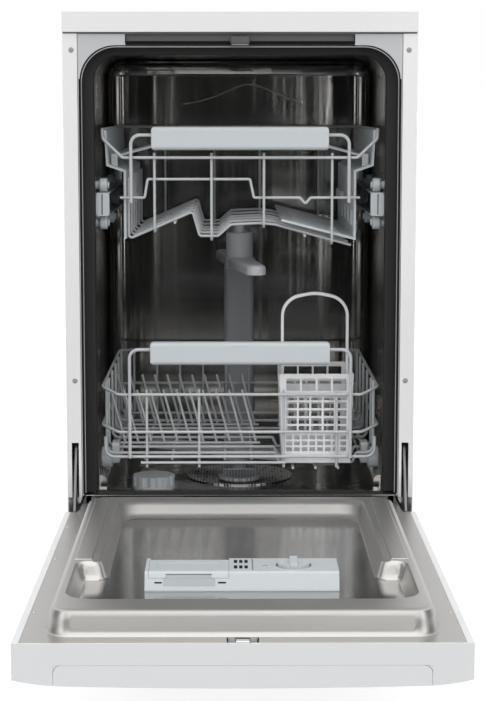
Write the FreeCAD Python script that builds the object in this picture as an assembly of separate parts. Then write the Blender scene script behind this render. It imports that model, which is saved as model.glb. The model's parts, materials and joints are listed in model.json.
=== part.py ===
import FreeCAD
import Part
import math
import os

# Slimline free-standing dishwasher in millimetres. It is drawn with the front plane of the
# cabinet at Y = 0, X to the right and Z up from the floor; the door is drawn shut and then
# swung open about its hinge. At the end everything moves along Y, so that the origin is the
# centre of the floor area that the open machine covers.

V = FreeCAD.Vector

# Cabinet
CABINET_WIDTH = 448.0
CABINET_DEPTH = 555.0
OVERALL_HEIGHT = 850.0
WORKTOP_THICKNESS = 28.0
WORKTOP_OVERHANG = 4.0
WORKTOP_ROUNDING = 3.0
SHEET = 1.0
FRONT_FLANGE = 18.5
FRONT_RETURN = 20.0
REAR_FLANGE = 20.0
PANEL_BOTTOM = 30.0
BASE_BOTTOM = 18.0
BASE_HEIGHT = 87.0
BASE_WALL = 3.0
BASE_SETBACK = 78.0
REAR_RECESS = 30.0
KICK_THICKNESS = 2.0
KICK_CLEARANCE = 5.0
FOOT_RADIUS = 17.0
FOOT_PAD = 8.0
FOOT_STEM_RADIUS = 5.0
FOOT_INSET = 30.0

# Clearances
STILL_GAP = 0.2
RUN_GAP = 0.3
BORE_GAP = 0.1
WELD_GAP = 0.1

# Tub
TUB_WALL = 1.0
TUB_SIDE_SPACE = 24.0
TUB_CEILING_SPACE = 22.0
TUB_REAR_SPACE = 60.0
TUB_FLOOR = 212.0
TUB_LIP = 228.0
TUB_CORNER = 28.0
TUB_RAMP = 30.0
MOUTH_FRONT = 6.0
MOUTH_DEPTH = 40.0
MOUTH_STEP = 3.0
MOUTH_RISE = 6.0
MOUTH_RADIUS = 45.0
LEDGE_WIDTH = 24.0
LEDGE_TOP = 247.0
LEDGE_ROUNDING = 8.0
GASKET_WIDTH = 16.0
GASKET_TOP_WIDTH = 11.0
FRAME_THICKNESS = 4.0
STRIKE_WIDTH = 25.0
STRIKE_REACH = 11.0

# Water parts in the tub floor and in the base
SUMP_RADIUS = 66.0
SUMP_DEPTH = 80.0
ARM_POST_RADIUS = 11.0
FILTER_RADIUS = 24.0
SALT_Y = 130.0
SALT_RADIUS = 29.0
DUCT_WIDTH = 46.0
DUCT_DEPTH = 25.0
ARM_CLEARANCE = 34.3
PORT_RADIUS = 14.0

# Door
HINGE_Y = -20.0
HINGE_Z = 202.0
HINGE_PIN_RADIUS = 5.0
DOOR_GAP = 2.0
DOOR_SIDE_GAP = 2.0
DOOR_TAIL = 87.0
PAN_DEPTH = 40.0
PAN_RIM = 7.0
CORNER_NOTCH = 40.0
FASCIA_HEIGHT = 108.0
FASCIA_WALL = 3.0
FASCIA_EDGE_DEPTH = 36.0
FASCIA_BULGE = 8.5
GRIP_HEIGHT = 20.0
GRIP_SETBACK = 21.5
POCKET_HEIGHT = 34.0
LINER_SHEET = 1.0
DISH_HEIGHT = 25.0
DISH_MARGIN = 26.5
DISH_DRAFT = 12.0
DISH_TOP_MARGIN = 22.0
DISH_BOTTOM = 257.0
DISH_CORNER = 30.0
RECESS_FLOOR = 6.0
RECESS_TOP_MARGIN = 48.0
RECESS_DRAFT = 10.0
RECESS_RAMP = 46.0
RECESS_REACH = 16.0
TRACK_RISE = 1.5
TRACK_BOTTOM = 284.0
DISPENSER_HALF = 102.0
DISPENSER_HEIGHT = 68.0
DISPENSER_RISE = 20.0
LID_LEFT = -98.0
LID_RIGHT = -14.0
LID_HEIGHT = 60.0
LID_PIN_RADIUS = 1.5
VENT_STEP = 24.0
CAP_X = 55.0
CAP_RADIUS = 17.0
LEVER_THICKNESS = 3.0
LEVER_REACH = 94.0
LEVER_ANGLE = -25.0
SPRING_WIRE = 1.2
SPRING_RADIUS = 6.0
SPRING_EYE = 4.2
KNOB_RADIUS = 18.0
BUTTON_RADIUS = 8.0
BUTTON_TRAVEL = 2.5
CONTROL_DROP = 81.0

# Baskets
WIRE = 2.0
THIN_WIRE = 1.75
STRONG_WIRE = 2.25
BEND = 8.0
BASKET_FRONT = 46.0
BASKET_REAR_SPACE = 57.0
UPPER_SPACE = 244.0
HANDLE_HEIGHT = 30.0
HANDLE_DEPTH = 14.0

SIDE_WALL = 3.0
SIDE_JOG_RISE = 8.0
SHELF_WIDTH = 63.0
SHELF_SLOPE = 15.0
SHELF_THICKNESS = 2.5
SHELF_START = 92.0

RAIL_SHEET = 1.5
RAIL_HEIGHT = 29.9
RAIL_DEPTH = 16.0
RAIL_START = 41.0
RAIL_CAP = 10.8
ROLLER_RADIUS = 9.0
ROLLER_WIDTH = 10.0
ROLLER_AXLE = 3.0
ROLLER_ROWS = (62.0, 200.0)

LOWER_RIM = 354.0
LOWER_SIDE_RIM = 362.0
LOWER_MID_RIM = 304.0
LOWER_SIDE_MID_RIM = 311.0
LOWER_BASE = 271.0
LOWER_CORNER_TOP = 369.0
LOWER_BRACKET_TOP = 414.0
UPRIGHT_FOOT = 256.0
WHEEL_RADIUS = 14.0
WHEEL_WIDTH = 15.0
WHEEL_PIN = 4.0
TINE_LENGTH = 74.0
TINE_LEAN = 15.0
TINE_PITCH = 18.0
TIP_ROUNDING = 1.4

CUTLERY_WIDTH = 98.0
CUTLERY_DEPTH = 120.0
CUTLERY_TALLEST = 119.0
ARCH_RISE = 104.0
ARCH_STRAP = 4.0
ARCH_DEPTH = 9.0
ARCH_LEG = 20.0
CUTLERY_WALL = 2.5
POCKET_DROP = 12.5

# Pipe connections, pins and bites
INLET_RADIUS = 13.2
DRAIN_RADIUS = 9.5
RUNNER_PIN = 4.0
SHELF_PIN = 1.8
HOOK_PIN = 2.0
HOOK_BITE = 3.5

# Derived positions
HALF = CABINET_WIDTH / 2
WORKTOP_Z = OVERALL_HEIGHT - WORKTOP_THICKNESS
TUB_HALF = HALF - TUB_SIDE_SPACE
TUB_BACK = CABINET_DEPTH - TUB_REAR_SPACE
TUB_CEILING = WORKTOP_Z - TUB_CEILING_SPACE
MOUTH_HALF = TUB_HALF + MOUTH_STEP
MOUTH_TOP = TUB_CEILING + MOUTH_RISE
BASE_TOP = BASE_BOTTOM + BASE_HEIGHT
BASE_HALF = HALF - SHEET - STILL_GAP
BASE_BACK = CABINET_DEPTH - REAR_RECESS
BASE_FLOOR = BASE_BOTTOM + BASE_WALL
FRAME_HALF = HALF - FRONT_FLANGE - 0.5
RIM_Y = -DOOR_GAP
DOOR_HALF = HALF - DOOR_SIDE_GAP
DOOR_TOP = WORKTOP_Z - DOOR_GAP
DOOR_BOTTOM = HINGE_Z - DOOR_TAIL
DOOR_RIM_OPEN = HINGE_Z + RIM_Y - HINGE_Y
DOOR_REACH = DOOR_TOP - HINGE_Z - HINGE_Y
NOTCH_TOP = HINGE_Z + CORNER_NOTCH
PAN_FRONT = RIM_Y - PAN_DEPTH
FASCIA_BOTTOM = DOOR_TOP - FASCIA_HEIGHT
LINER_HALF = DOOR_HALF - PAN_RIM
DISH_HALF = DOOR_HALF - DISH_MARGIN
DISH_TOP = DOOR_TOP - DISH_TOP_MARGIN
DISH_Y = RIM_Y + DISH_HEIGHT
FLOOR_Y = RIM_Y + RECESS_FLOOR
RECESS_HALF_TOP = DISH_HALF - 17.5
RECESS_HALF_LOW = RECESS_HALF_TOP - 25
RECESS_STEP = DOOR_TOP - 224
RECESS_BOTTOM = min(DISH_BOTTOM + RECESS_REACH, RECESS_STEP - 40)
TRACK_OUTER = DISH_HALF - 15.5
TRACK_INNER = RECESS_HALF_LOW + 3
DISPENSER_BOTTOM = RECESS_STEP - 12
DISPENSER_TOP = DISPENSER_BOTTOM + DISPENSER_HEIGHT
CAP_Z = DISPENSER_BOTTOM + 34
KNOB_X = DOOR_HALF - 62
BUTTON_XS = (37.0 - DOOR_HALF, 67.0 - DOOR_HALF)
BOARD_HALF = DOOR_HALF - 82
DISPENSER_Y = FLOOR_Y + DISPENSER_RISE
DISPENSER_BACK_TOP = min(DISPENSER_TOP - 9, FASCIA_BOTTOM - 3)
GASKET_FRONT = DISH_Y + 1.5
CONTROL_Z = DOOR_TOP - CONTROL_DROP
BRACKET_PLATE = HALF - 17.5
LEVER_PLATE = BRACKET_PLATE + 5.5
LIP_HALF = TUB_HALF - 14.0
FRONT_SHIFT = (DOOR_REACH - CABINET_DEPTH) / 2
WHEEL_Z = LEDGE_TOP + RUN_GAP + WHEEL_RADIUS
WHEEL_INNER = TUB_HALF - 28.5
RAIL_WINDOW = MOUTH_HALF - 58
FRONT_FOOT_Y = BASE_SETBACK + FOOT_INSET
REAR_FOOT_Y = BASE_BACK - FOOT_INSET
RIB_X = BASE_HALF - 72.8
INLET = V(RIB_X, BASE_BACK - BASE_WALL, BASE_BOTTOM + 48)
DRAIN = V(60, BASE_BACK - BASE_WALL, BASE_BOTTOM + 46)
DUCT_BACK = TUB_BACK - 1.5 - STILL_GAP
STRIKE_LOW = MOUTH_TOP + 2.5
STRIKE_HIGH = DOOR_TOP - FASCIA_WALL - 2 * RUN_GAP
PUMP_LEFT = 30.0 - RIB_X
PUMP_Y = BASE_BACK - 195
DRAIN_PUMP_Y = BASE_BACK - 125

# Derived: spray arms, their feed and the places in the tub floor
UPPER_BASE = TUB_CEILING - UPPER_SPACE
DUCT_SHOULDER = UPPER_BASE - 64
DUCT_TOP = UPPER_BASE - 4
PORT_HEIGHT = UPPER_BASE - 20
PORT_FACE = DUCT_BACK - DUCT_DEPTH - 14
ARM_Y = TUB_BACK / 2 + 7.5
ARM_RADIUS = min(PORT_FACE - ARM_CLEARANCE - ARM_Y, TUB_HALF - LEDGE_WIDTH - 8)
ARM_LOW = TUB_FLOOR + 22.0
ARM_HIGH = ARM_LOW + 12.0
UPPER_ARM_TOP = PORT_HEIGHT - PORT_RADIUS - 2 - RUN_GAP
UPPER_ARM_LOW = UPPER_ARM_TOP - 17
SUMP_Y = ARM_Y - 40
FILTER_Y = ARM_Y - 75
SALT_X = 82.0 - TUB_HALF

# Derived: rails
RAIL_OUTER = TUB_HALF - 14
RAIL_INNER = RAIL_OUTER - RAIL_DEPTH
RAIL_BOTTOM = UPPER_BASE + 32.8
RAIL_TOP = RAIL_BOTTOM + RAIL_HEIGHT
RAIL_END = TUB_BACK - 15
ROLLER_INNER = RAIL_INNER + 3
ROLLER_HIGH = RAIL_TOP + RUN_GAP + ROLLER_RADIUS
ROLLER_LOW = RAIL_BOTTOM - RUN_GAP - ROLLER_RADIUS
RUNNER_Z = (RAIL_BOTTOM + RAIL_TOP) / 2

# Derived: upper basket
BASKET_REAR = TUB_BACK - BASKET_REAR_SPACE
UPPER_HALF = TUB_HALF - 21
UPPER_RIM = UPPER_BASE + 108
UPPER_SIDE_RIM = UPPER_BASE + 144
UPPER_BRACKET_TOP = UPPER_BASE + 137
UPPER_BRACKET_BOTTOM = UPPER_BASE + 50
SIDE_WALL_X = TUB_HALF - 50
SIDE_JOG = UPPER_BASE + 90
SHELF_PIVOT_X = SIDE_WALL_X + 15
SHELF_PIVOT_Z = UPPER_RIM
SHELF_END = BASKET_REAR - 42
UPPER_BRACKET_X = SIDE_WALL_X - 9
UPPER_HANDLE_HALF = UPPER_BRACKET_X - 26.5
UPPER_UPRIGHTS = [share * SIDE_WALL_X for share in (-0.74, -0.247, 0.207, 0.797)]
UPPER_FRONT_ROW = BASKET_FRONT + 26
UPPER_CROSS_ROWS = [UPPER_FRONT_ROW + share * (ARM_Y - UPPER_FRONT_ROW) for share in (0, 0.37, 0.69, 1)]
UPPER_CROSS_ROWS += [BASKET_REAR - 108, BASKET_REAR - 26]
RUNNER_ROWS = (BASKET_REAR - 153, BASKET_REAR - 58)

# Derived: lower basket and cutlery basket
LOWER_HALF = TUB_HALF - 18
LOWER_CORNER = LOWER_HALF - 22
LOWER_BRACKET_X = LOWER_HALF - 37
LOWER_HANDLE_HALF = LOWER_BRACKET_X - 27.5
LOWER_UPRIGHTS = [share * LOWER_HALF for share in (-0.676, -0.297, 0.317, 0.7)]
LOWER_NEAR_ROW = BASKET_FRONT + 72
LOWER_FAR_ROW = BASKET_REAR - 108
LOWER_CROSS_ROWS = [BASKET_FRONT + 28]
ROW_SPAN = LOWER_FAR_ROW - LOWER_NEAR_ROW
LOWER_CROSS_ROWS += [LOWER_NEAR_ROW + share * ROW_SPAN for share in (0, 0.34, 0.68, 1)]
LOWER_CROSS_ROWS.append(BASKET_REAR - 40)
WHEEL_ROWS = [sum(LOWER_CROSS_ROWS[:2]) / 2, sum(LOWER_CROSS_ROWS[-2:]) / 2]
TINE_ROWS = [
    LOWER_CROSS_ROWS[1] + 0.445 * (LOWER_CROSS_ROWS[2] - LOWER_CROSS_ROWS[1]),
    (LOWER_CROSS_ROWS[3] + LOWER_CROSS_ROWS[4]) / 2,
]
CUTLERY_RIGHT = LOWER_HALF - 32
CUTLERY_LEFT = CUTLERY_RIGHT - CUTLERY_WIDTH
CUTLERY_LOW = LOWER_BASE - POCKET_DROP + WIRE + STILL_GAP
CUTLERY_HEIGHT = min(CUTLERY_TALLEST, UPPER_ARM_LOW - 40 - CUTLERY_LOW)
CUTLERY_ARCH = min(ARCH_RISE, UPPER_ARM_LOW - 12 - CUTLERY_LOW - CUTLERY_HEIGHT)
LONG_STEP = (CUTLERY_LEFT - 37 + LOWER_CORNER) / 5
LOWER_LONG_ROWS = [LONG_STEP * i - LOWER_CORNER for i in range(6)] + [LOWER_CORNER]

# Derived: door
GRIP_HALF_WIDTH = DOOR_HALF - 40
POCKET_HALF_WIDTH = GRIP_HALF_WIDTH - 72
GRIP_BACK = RIM_Y - GRIP_SETBACK
GRIP_LOW = DOOR_TOP - GRIP_HEIGHT
LID_BASE = DISPENSER_BOTTOM + 8
LID_AXIS_Y = DISPENSER_Y - 4.0
LID_AXIS_Z = LID_BASE + 4.0
HOOK_PIVOT = V(0, RIM_Y - 14, STRIKE_LOW - 4.5)
HOOK_HALF = STRIKE_WIDTH / 2 - 4 - 2.0


def box(xs, ys, zs):
    """A block between the given limits."""
    size = (xs[1] - xs[0], ys[1] - ys[0], zs[1] - zs[0])
    return Part.makeBox(size[0], size[1], size[2], V(xs[0], ys[0], zs[0]))


def rod(start, end, radius):
    """A round bar between two points."""
    run = end - start
    return Part.makeCylinder(radius, run.Length, start, run)


def tipped_rod(start, end, radius):
    """A round bar with a rounded far end."""
    bar = rod(start, end, radius)
    tip = [e for e in bar.Edges if e.Closed and (e.CenterOfMass - end).Length < 0.01]
    return bar.makeFillet(TIP_ROUNDING, tip)


def ring(start, end, radius, bore):
    """A round bar with a bore."""
    run = end - start
    tool = Part.makeCylinder(bore, run.Length + 2, start - V(run).normalize(), run)
    return rod(start, end, radius).cut(tool)


def rounded_path(points, radius, closed=False):
    """A wire through points, its corners turned into tangent arcs."""
    count = len(points)
    radii = radius if isinstance(radius, (list, tuple)) else [radius] * count
    arcs = {}
    for i in range(count):
        if not closed and i in (0, count - 1):
            continue
        here = points[i]
        back = (points[i - 1] - here).normalize()
        ahead = (points[(i + 1) % count] - here).normalize()
        half = back.getAngle(ahead) / 2
        if radii[i] <= 0 or half > math.pi / 2 - 0.001:
            continue
        setback = radii[i] / math.tan(half)
        middle = (back + ahead).normalize()
        apex = here + middle * (radii[i] / math.sin(half) - radii[i])
        arcs[i] = (here + back * setback, apex, here + ahead * setback)
    edges = []
    last = points[0] if not closed else arcs.get(0, (0, 0, points[0]))[2]
    order = list(range(1, count)) + ([0] if closed else [])
    for i in order:
        if i in arcs:
            start, apex, end = arcs[i]
        else:
            start = end = points[i]
        if (start - last).Length > 0.001:
            edges.append(Part.makeLine(last, start))
        if i in arcs:
            edges.append(Part.Arc(start, apex, end).toShape())
        last = end
    return Part.Wire(edges)


def bent_rod(points, radius, bend=BEND, closed=False):
    """One wire of a basket, bent with tangent arcs."""
    path = rounded_path(points, bend, closed)
    first = path.OrderedEdges[0]
    at = first.valueAt(first.FirstParameter)
    along = first.tangentAt(first.FirstParameter)
    profile = Part.Wire(Part.makeCircle(radius, at, along))
    solid = path.makePipeShell([profile], True, False)
    if solid.Volume < 0:
        solid.reverse()
    return solid


def face_xy(points, radius=0.0, z=0.0):
    """A face on a level plane from (x, y) corners."""
    return Part.Face(rounded_path([V(x, y, z) for x, y in points], radius, True))


def face_xz(points, radius=0.0, y=0.0):
    """A face on an upright plane from (x, z) corners."""
    return Part.Face(rounded_path([V(x, y, z) for x, z in points], radius, True))


def face_yz(points, radius=0.0, x=0.0):
    """A face on a side plane from (y, z) corners."""
    return Part.Face(rounded_path([V(x, y, z) for y, z in points], radius, True))


def mirrored(shape):
    """The same shape on the other side of the machine."""
    return shape.mirror(V(0, 0, 0), V(1, 0, 0))


def both_sides(shape):
    """A right-hand piece and its left-hand twin."""
    return Part.makeCompound([mirrored(shape), shape])


def joined(shapes):
    """Shapes fused into one."""
    return shapes[0].fuse(shapes[1:]).removeSplitter()


def edges_near(shape, test):
    """The straight or curved edges whose middle passes a test."""
    found = []
    for edge in shape.Edges:
        middle = edge.valueAt((edge.FirstParameter + edge.LastParameter) / 2)
        if test(middle):
            found.append(edge)
    return found


def near(a, b):
    """Whether two lengths agree."""
    return abs(a - b) < 0.01


def swung(shape, degrees):
    """The shape turned about the door hinge."""
    turned = shape.copy()
    turned.rotate(V(0, HINGE_Y, HINGE_Z), V(1, 0, 0), degrees)
    return turned


def arch_points(half, bottom, top):
    """Corners of an arch-topped opening, seen from the front."""
    return [(-half, bottom), (half, bottom), (half, top), (-half, top)]


# Cabinet shell


def worktop():
    slab = box((-HALF, HALF), (-WORKTOP_OVERHANG, CABINET_DEPTH), (WORKTOP_Z, OVERALL_HEIGHT))
    upper = edges_near(slab, lambda p: near(p.z, OVERALL_HEIGHT))
    slab = slab.makeFillet(WORKTOP_ROUNDING, upper)
    lower = edges_near(slab, lambda p: near(p.z, WORKTOP_Z))
    return slab.makeChamfer(0.8, lower)


def side_panel():
    """Right side panel: one folded sheet with a front flange, its return and a rear flange."""
    back = CABINET_DEPTH - SHEET
    inner = HALF - FRONT_FLANGE
    rear = HALF - REAR_FLANGE
    profile = [
        (inner, 0),
        (HALF, 0),
        (HALF, back),
        (rear, back),
        (rear, back - SHEET),
        (HALF - SHEET, back - SHEET),
        (HALF - SHEET, SHEET),
        (inner + SHEET, SHEET),
        (inner + SHEET, FRONT_RETURN),
        (inner, FRONT_RETURN),
    ]
    height = WORKTOP_Z - PANEL_BOTTOM
    panel = face_xy(profile, 0.0, PANEL_BOTTOM).extrude(V(0, 0, height))
    notch_top = DOOR_RIM_OPEN + 6
    notch = box((inner - 1, HALF - SHEET), (-1, FRONT_RETURN + 1), (PANEL_BOTTOM - 1, notch_top))
    slot_middle = LEVER_PLATE + LEVER_THICKNESS / 2
    slot = box((slot_middle - 4.5, slot_middle + 4.5), (-1, SHEET + 1), (notch_top - 1, notch_top + 72))
    cap_x = HALF - FRONT_FLANGE * 0.6
    caps = [
        rod(V(cap_x, -1, z), V(cap_x, SHEET + 1, z), 3) for z in (WORKTOP_Z - 22, DOOR_RIM_OPEN + 159)
    ]
    tub_screws = [
        rod(
            V(HALF - SHEET - 1, 12, z),
            V(HALF + 1, 12, z),
            2.2,
        ) for z in (WORKTOP_Z - 40, PANEL_BOTTOM + 320)
    ]
    return panel.cut([notch, slot] + caps + tub_screws)


def back_panel():
    """Rear sheet with three pressed stiffening beads."""
    outer = [(-BASE_HALF, CABINET_DEPTH)]
    for middle in (-0.62 * BASE_HALF, 0.0, 0.62 * BASE_HALF):
        outer += [
            (middle - 22, CABINET_DEPTH),
            (middle - 14, CABINET_DEPTH - 7),
            (middle + 14, CABINET_DEPTH - 7),
            (middle + 22, CABINET_DEPTH),
        ]
    outer.append((BASE_HALF, CABINET_DEPTH))
    inner = [(x, y - SHEET + STILL_GAP) for x, y in reversed(outer)]
    bottom = BASE_TOP + 2
    sheet = face_xy(outer + inner, 0.0, bottom).extrude(V(0, 0, WORKTOP_Z - 1 - bottom))
    vents = []
    for row in range(5):
        z = bottom + 45 + 14 * row
        vents.append(box((54, 96), (CABINET_DEPTH - 9, CABINET_DEPTH + 1), (z, z + 5)))
        vents.append(box((-96, -54), (CABINET_DEPTH - 9, CABINET_DEPTH + 1), (z, z + 5)))
    return sheet.cut(vents)


def foot_places(y):
    return [V(side * (BASE_HALF - FOOT_INSET), y, 0) for side in (-1, 1)]


def base_tray():
    """Moulded base with foot bosses, ribs and rear outlets."""
    tray = box((-BASE_HALF, BASE_HALF), (BASE_SETBACK, BASE_BACK), (BASE_BOTTOM, BASE_TOP))
    upright = edges_near(tray, lambda p: near(p.z, (BASE_BOTTOM + BASE_TOP) / 2))
    tray = tray.makeFillet(8, upright)
    hollow = box(
        (-BASE_HALF + BASE_WALL, BASE_HALF - BASE_WALL),
        (BASE_SETBACK + BASE_WALL, BASE_BACK - BASE_WALL),
        (BASE_FLOOR, BASE_TOP + 1),
    )
    tray = tray.cut(hollow)
    extras = []
    bores = []
    for place in foot_places(FRONT_FOOT_Y) + foot_places(REAR_FOOT_Y):
        extras.append(rod(place + V(0, 0, BASE_BOTTOM), place + V(0, 0, BASE_BOTTOM + 34), 12))
        bores.append(
            rod(
                place + V(0, 0, BASE_BOTTOM - 1),
                place + V(0, 0, BASE_BOTTOM + 31),
                FOOT_STEM_RADIUS + BORE_GAP,
            )
        )
    upper = LIP_HALF - 20
    hinge_wall = box(
        (-upper, upper), (BASE_SETBACK, BASE_SETBACK + BASE_WALL), (BASE_TOP - 1, HINGE_Z - 4)
    )
    extras.append(hinge_wall)
    for side in (-1, 1):
        cheek = box(
            (upper - BASE_WALL, upper),
            (BASE_SETBACK, BASE_SETBACK + 14),
            (BASE_TOP - 1, HINGE_Z - 4),
        )
        extras.append(cheek if side > 0 else mirrored(cheek))
        extras.append(
            box(
                (side * RIB_X - 1.5, side * RIB_X + 1.5),
                (BASE_SETBACK + 1, BASE_BACK - 1),
                (BASE_FLOOR - 1, BASE_FLOOR + 14),
            ),
        )
    gland = V(-60, BASE_BACK - 1, BASE_BOTTOM + 50)
    extras.append(rod(gland, gland + V(0, 14, 0), 9))
    bores.append(rod(gland - V(0, 5, 0), gland + V(0, 20, 0), 4))
    bores.append(rod(INLET - V(0, 5, 0), INLET + V(0, 8, 0), INLET_RADIUS + 0.8))
    bores.append(rod(DRAIN - V(0, 5, 0), DRAIN + V(0, 8, 0), DRAIN_RADIUS + 0.8))
    for piece in spring_post():
        extras += [piece, mirrored(piece)]
    return joined([tray] + extras).cut(bores)


def kick_plate():
    """Toe plate with a turned top edge and a grille."""
    front = BASE_SETBACK - KICK_THICKNESS - STILL_GAP
    top = DOOR_BOTTOM - KICK_CLEARANCE
    plate = box((-BASE_HALF, BASE_HALF), (front, BASE_SETBACK - STILL_GAP), (BASE_BOTTOM + 2, top))
    slots = []
    for i in range(9):
        x = -160 + 40 * i
        slots.append(face_xz(arch_points(14, 0, 4), 1.9, front - 1).extrude(V(0, 4, 0)))
        slots[-1].translate(V(x, 0, BASE_BOTTOM + 60))
    return plate.cut(slots)


def foot(place):
    pad = rod(place, place + V(0, 0, FOOT_PAD), FOOT_RADIUS)
    pad = pad.makeChamfer(1.5, edges_near(pad, lambda p: near(p.z, 0)))
    hexagon = [
        (place.x + 11 * math.cos(math.radians(60 * i)), place.y + 11 * math.sin(math.radians(60 * i)))
        for i in range(6)
    ]
    nut = face_xy(hexagon, 0.0, FOOT_PAD - 1).extrude(V(0, 0, BASE_BOTTOM - FOOT_PAD + 1 - RUN_GAP))
    stem = rod(place + V(0, 0, 2), place + V(0, 0, BASE_BOTTOM + 30), FOOT_STEM_RADIUS)
    return joined([pad, nut, stem])


# Tub and its mouth


def mouth_face(grow, y):
    half = MOUTH_HALF + grow
    top = MOUTH_TOP + grow
    bend = MOUTH_RADIUS + grow
    return face_xz(arch_points(half, TUB_LIP - grow, top), [0, 0, bend, bend], y)


def tub_form(grow):
    """The wash space, widened on all sides but its open front."""
    half = TUB_HALF + grow
    floor = TUB_FLOOR - grow
    bend = TUB_CORNER + grow
    back = TUB_BACK + grow
    front = face_xz(arch_points(half, floor, TUB_CEILING + grow), [0, 0, bend, bend], MOUTH_DEPTH)
    main = front.extrude(V(0, back - MOUTH_DEPTH, 0))
    rim = [e for e in edges_near(main, lambda p: near(p.y, back)) if not near(e.CenterOfMass.z, floor)]
    main = main.makeFillet(bend - 2, rim)
    wedge = face_yz(
        [
            (MOUTH_DEPTH - 1, floor - 1),
            (MOUTH_DEPTH + TUB_RAMP, floor - 1),
            (MOUTH_DEPTH + TUB_RAMP, floor),
            (MOUTH_DEPTH, TUB_LIP - grow),
            (MOUTH_DEPTH - 1, TUB_LIP - grow),
        ],
        0.0,
        -half - 1,
    ).extrude(V(2 * half + 2, 0, 0))
    inner = TUB_HALF - LEDGE_WIDTH + grow
    start = MOUTH_DEPTH + 2 + grow
    ledge = box((inner, half + 2), (start, back + 2), (floor - 2, LEDGE_TOP - grow))
    crest = edges_near(ledge, lambda p: near(p.x, inner) and near(p.z, LEDGE_TOP - grow))
    ledge = ledge.makeFillet(LEDGE_ROUNDING - grow, crest)
    main = main.cut([wedge, ledge, mirrored(ledge)])
    mouth = mouth_face(grow, MOUTH_FRONT).extrude(V(0, MOUTH_DEPTH - MOUTH_FRONT + grow, 0))
    return main.fuse(mouth)


def tub():
    """Pressed steel tub: walls, ledges for the lower basket, sump hole and salt hole."""
    shell = tub_form(TUB_WALL).cut(tub_form(0.0))
    half = 0.8 * TUB_HALF
    low = V(-half, TUB_BACK - 1.5, TUB_FLOOR + 80)
    crown = TUB_CEILING - 36
    arch = Part.Wire(
        [
            Part.makeLine(low, V(half, low.y, low.z)),
            Part.makeLine(V(half, low.y, low.z), V(half, low.y, crown - 50)),
            Part.Arc(V(half, low.y, crown - 50), V(0, low.y, crown), V(-half, low.y, crown - 50)).toShape(),
            Part.makeLine(V(-half, low.y, crown - 50), low),
        ]
    )
    pad = Part.Face(arch).extrude(V(0, 2, 0))
    shell = shell.fuse(pad)
    low_z = TUB_FLOOR - TUB_WALL - 2
    holes = [
        rod(V(0, SUMP_Y, low_z), V(0, SUMP_Y, TUB_FLOOR + 2), SUMP_RADIUS),
        rod(V(SALT_X, SALT_Y, low_z), V(SALT_X, SALT_Y, TUB_FLOOR + 2), SALT_RADIUS - 6),
        rod(V(0, DUCT_BACK - 12, low_z), V(0, DUCT_BACK - 12, TUB_FLOOR + 2), 9),
    ]
    return shell.cut(holes).removeSplitter()


def front_frame():
    """Painted frame that fills the space between the side panels and the mouth of the tub."""
    top = WORKTOP_Z - 1
    front = 1.5
    plate = box((-FRAME_HALF, FRAME_HALF), (front, front + FRAME_THICKNESS), (TUB_LIP, top))
    opening = mouth_face(0.0, front - 1).extrude(V(0, FRAME_THICKNESS + 2, 0))
    drop = box((-MOUTH_HALF, MOUTH_HALF), (front - 1, front + 9), (TUB_LIP - 1, TUB_LIP + 2))
    window = box((-RAIL_WINDOW, RAIL_WINDOW), (front - 1, front + 9), (MOUTH_TOP + 2, top - 1))
    return plate.cut([opening, drop, window])


def top_rail():
    """Folded cross rail under the worktop that carries the door strike."""
    low = MOUTH_TOP + TUB_WALL + 1.5
    high = WORKTOP_Z - 2
    face = MOUTH_FRONT + 1
    deep = face + 18
    profile = [
        (face, low),
        (deep, low),
        (deep, low + 1.2),
        (face + 1.2, low + 1.2),
        (face + 1.2, high - 1.2),
        (deep, high - 1.2),
        (deep, high),
        (face, high),
    ]
    half = RAIL_WINDOW - 1
    return face_yz(profile, 0.0, -half).extrude(V(2 * half, 0, 0))


def latch_strike():
    """Closed staple in which the door hook catches."""
    half = STRIKE_WIDTH / 2
    back = MOUTH_FRONT + 1 - STILL_GAP
    outline = [(-half, back), (half, back), (half, -STRIKE_REACH), (-half, -STRIKE_REACH)]
    loop = face_xy(outline, [0, 0, 4, 4], STRIKE_LOW).extrude(V(0, 0, STRIKE_HIGH - STRIKE_LOW))
    eye = box((-half + 4, half - 4), (-STRIKE_REACH + 4, 2.0), (STRIKE_LOW - 1, STRIKE_HIGH + 1))
    return loop.cut(eye)


def door_gasket():
    """Rubber seal round the mouth, and the wedge seal on the lip below the door."""
    half = MOUTH_HALF - STILL_GAP
    top = MOUTH_TOP - STILL_GAP
    low = TUB_LIP + 1
    bend = MOUTH_RADIUS - STILL_GAP
    outer = face_xz(arch_points(half, low, top), [0, 0, bend, bend], GASKET_FRONT)
    inner_half = half - GASKET_WIDTH
    inner_top = top - GASKET_TOP_WIDTH
    inner = face_xz(
        arch_points(inner_half, low - 1, inner_top), [0, 0, bend - 12, bend - 12], GASKET_FRONT - 1
    )
    deep = MOUTH_DEPTH - STILL_GAP - GASKET_FRONT
    seal = outer.extrude(V(0, deep, 0)).cut(inner.extrude(V(0, deep + 2, 0)))
    front_edges = [
        e for e in edges_near(seal, lambda p: near(p.y, GASKET_FRONT)) if not near(e.CenterOfMass.z, low)
    ]
    seal = seal.makeFillet(3.0, front_edges)
    front = MOUTH_FRONT + 2
    base = TUB_LIP + STILL_GAP
    wedge = face_yz(
        [
            (front, base),
            (front + 12, base),
            (front + 12, base + 1.6),
            (front + 5, base + 4),
            (front, base + 3.4),
        ],
        0.0,
        -LIP_HALF,
    ).extrude(V(2 * LIP_HALF, 0, 0))
    return Part.makeCompound([seal, wedge])


# Water parts


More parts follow.
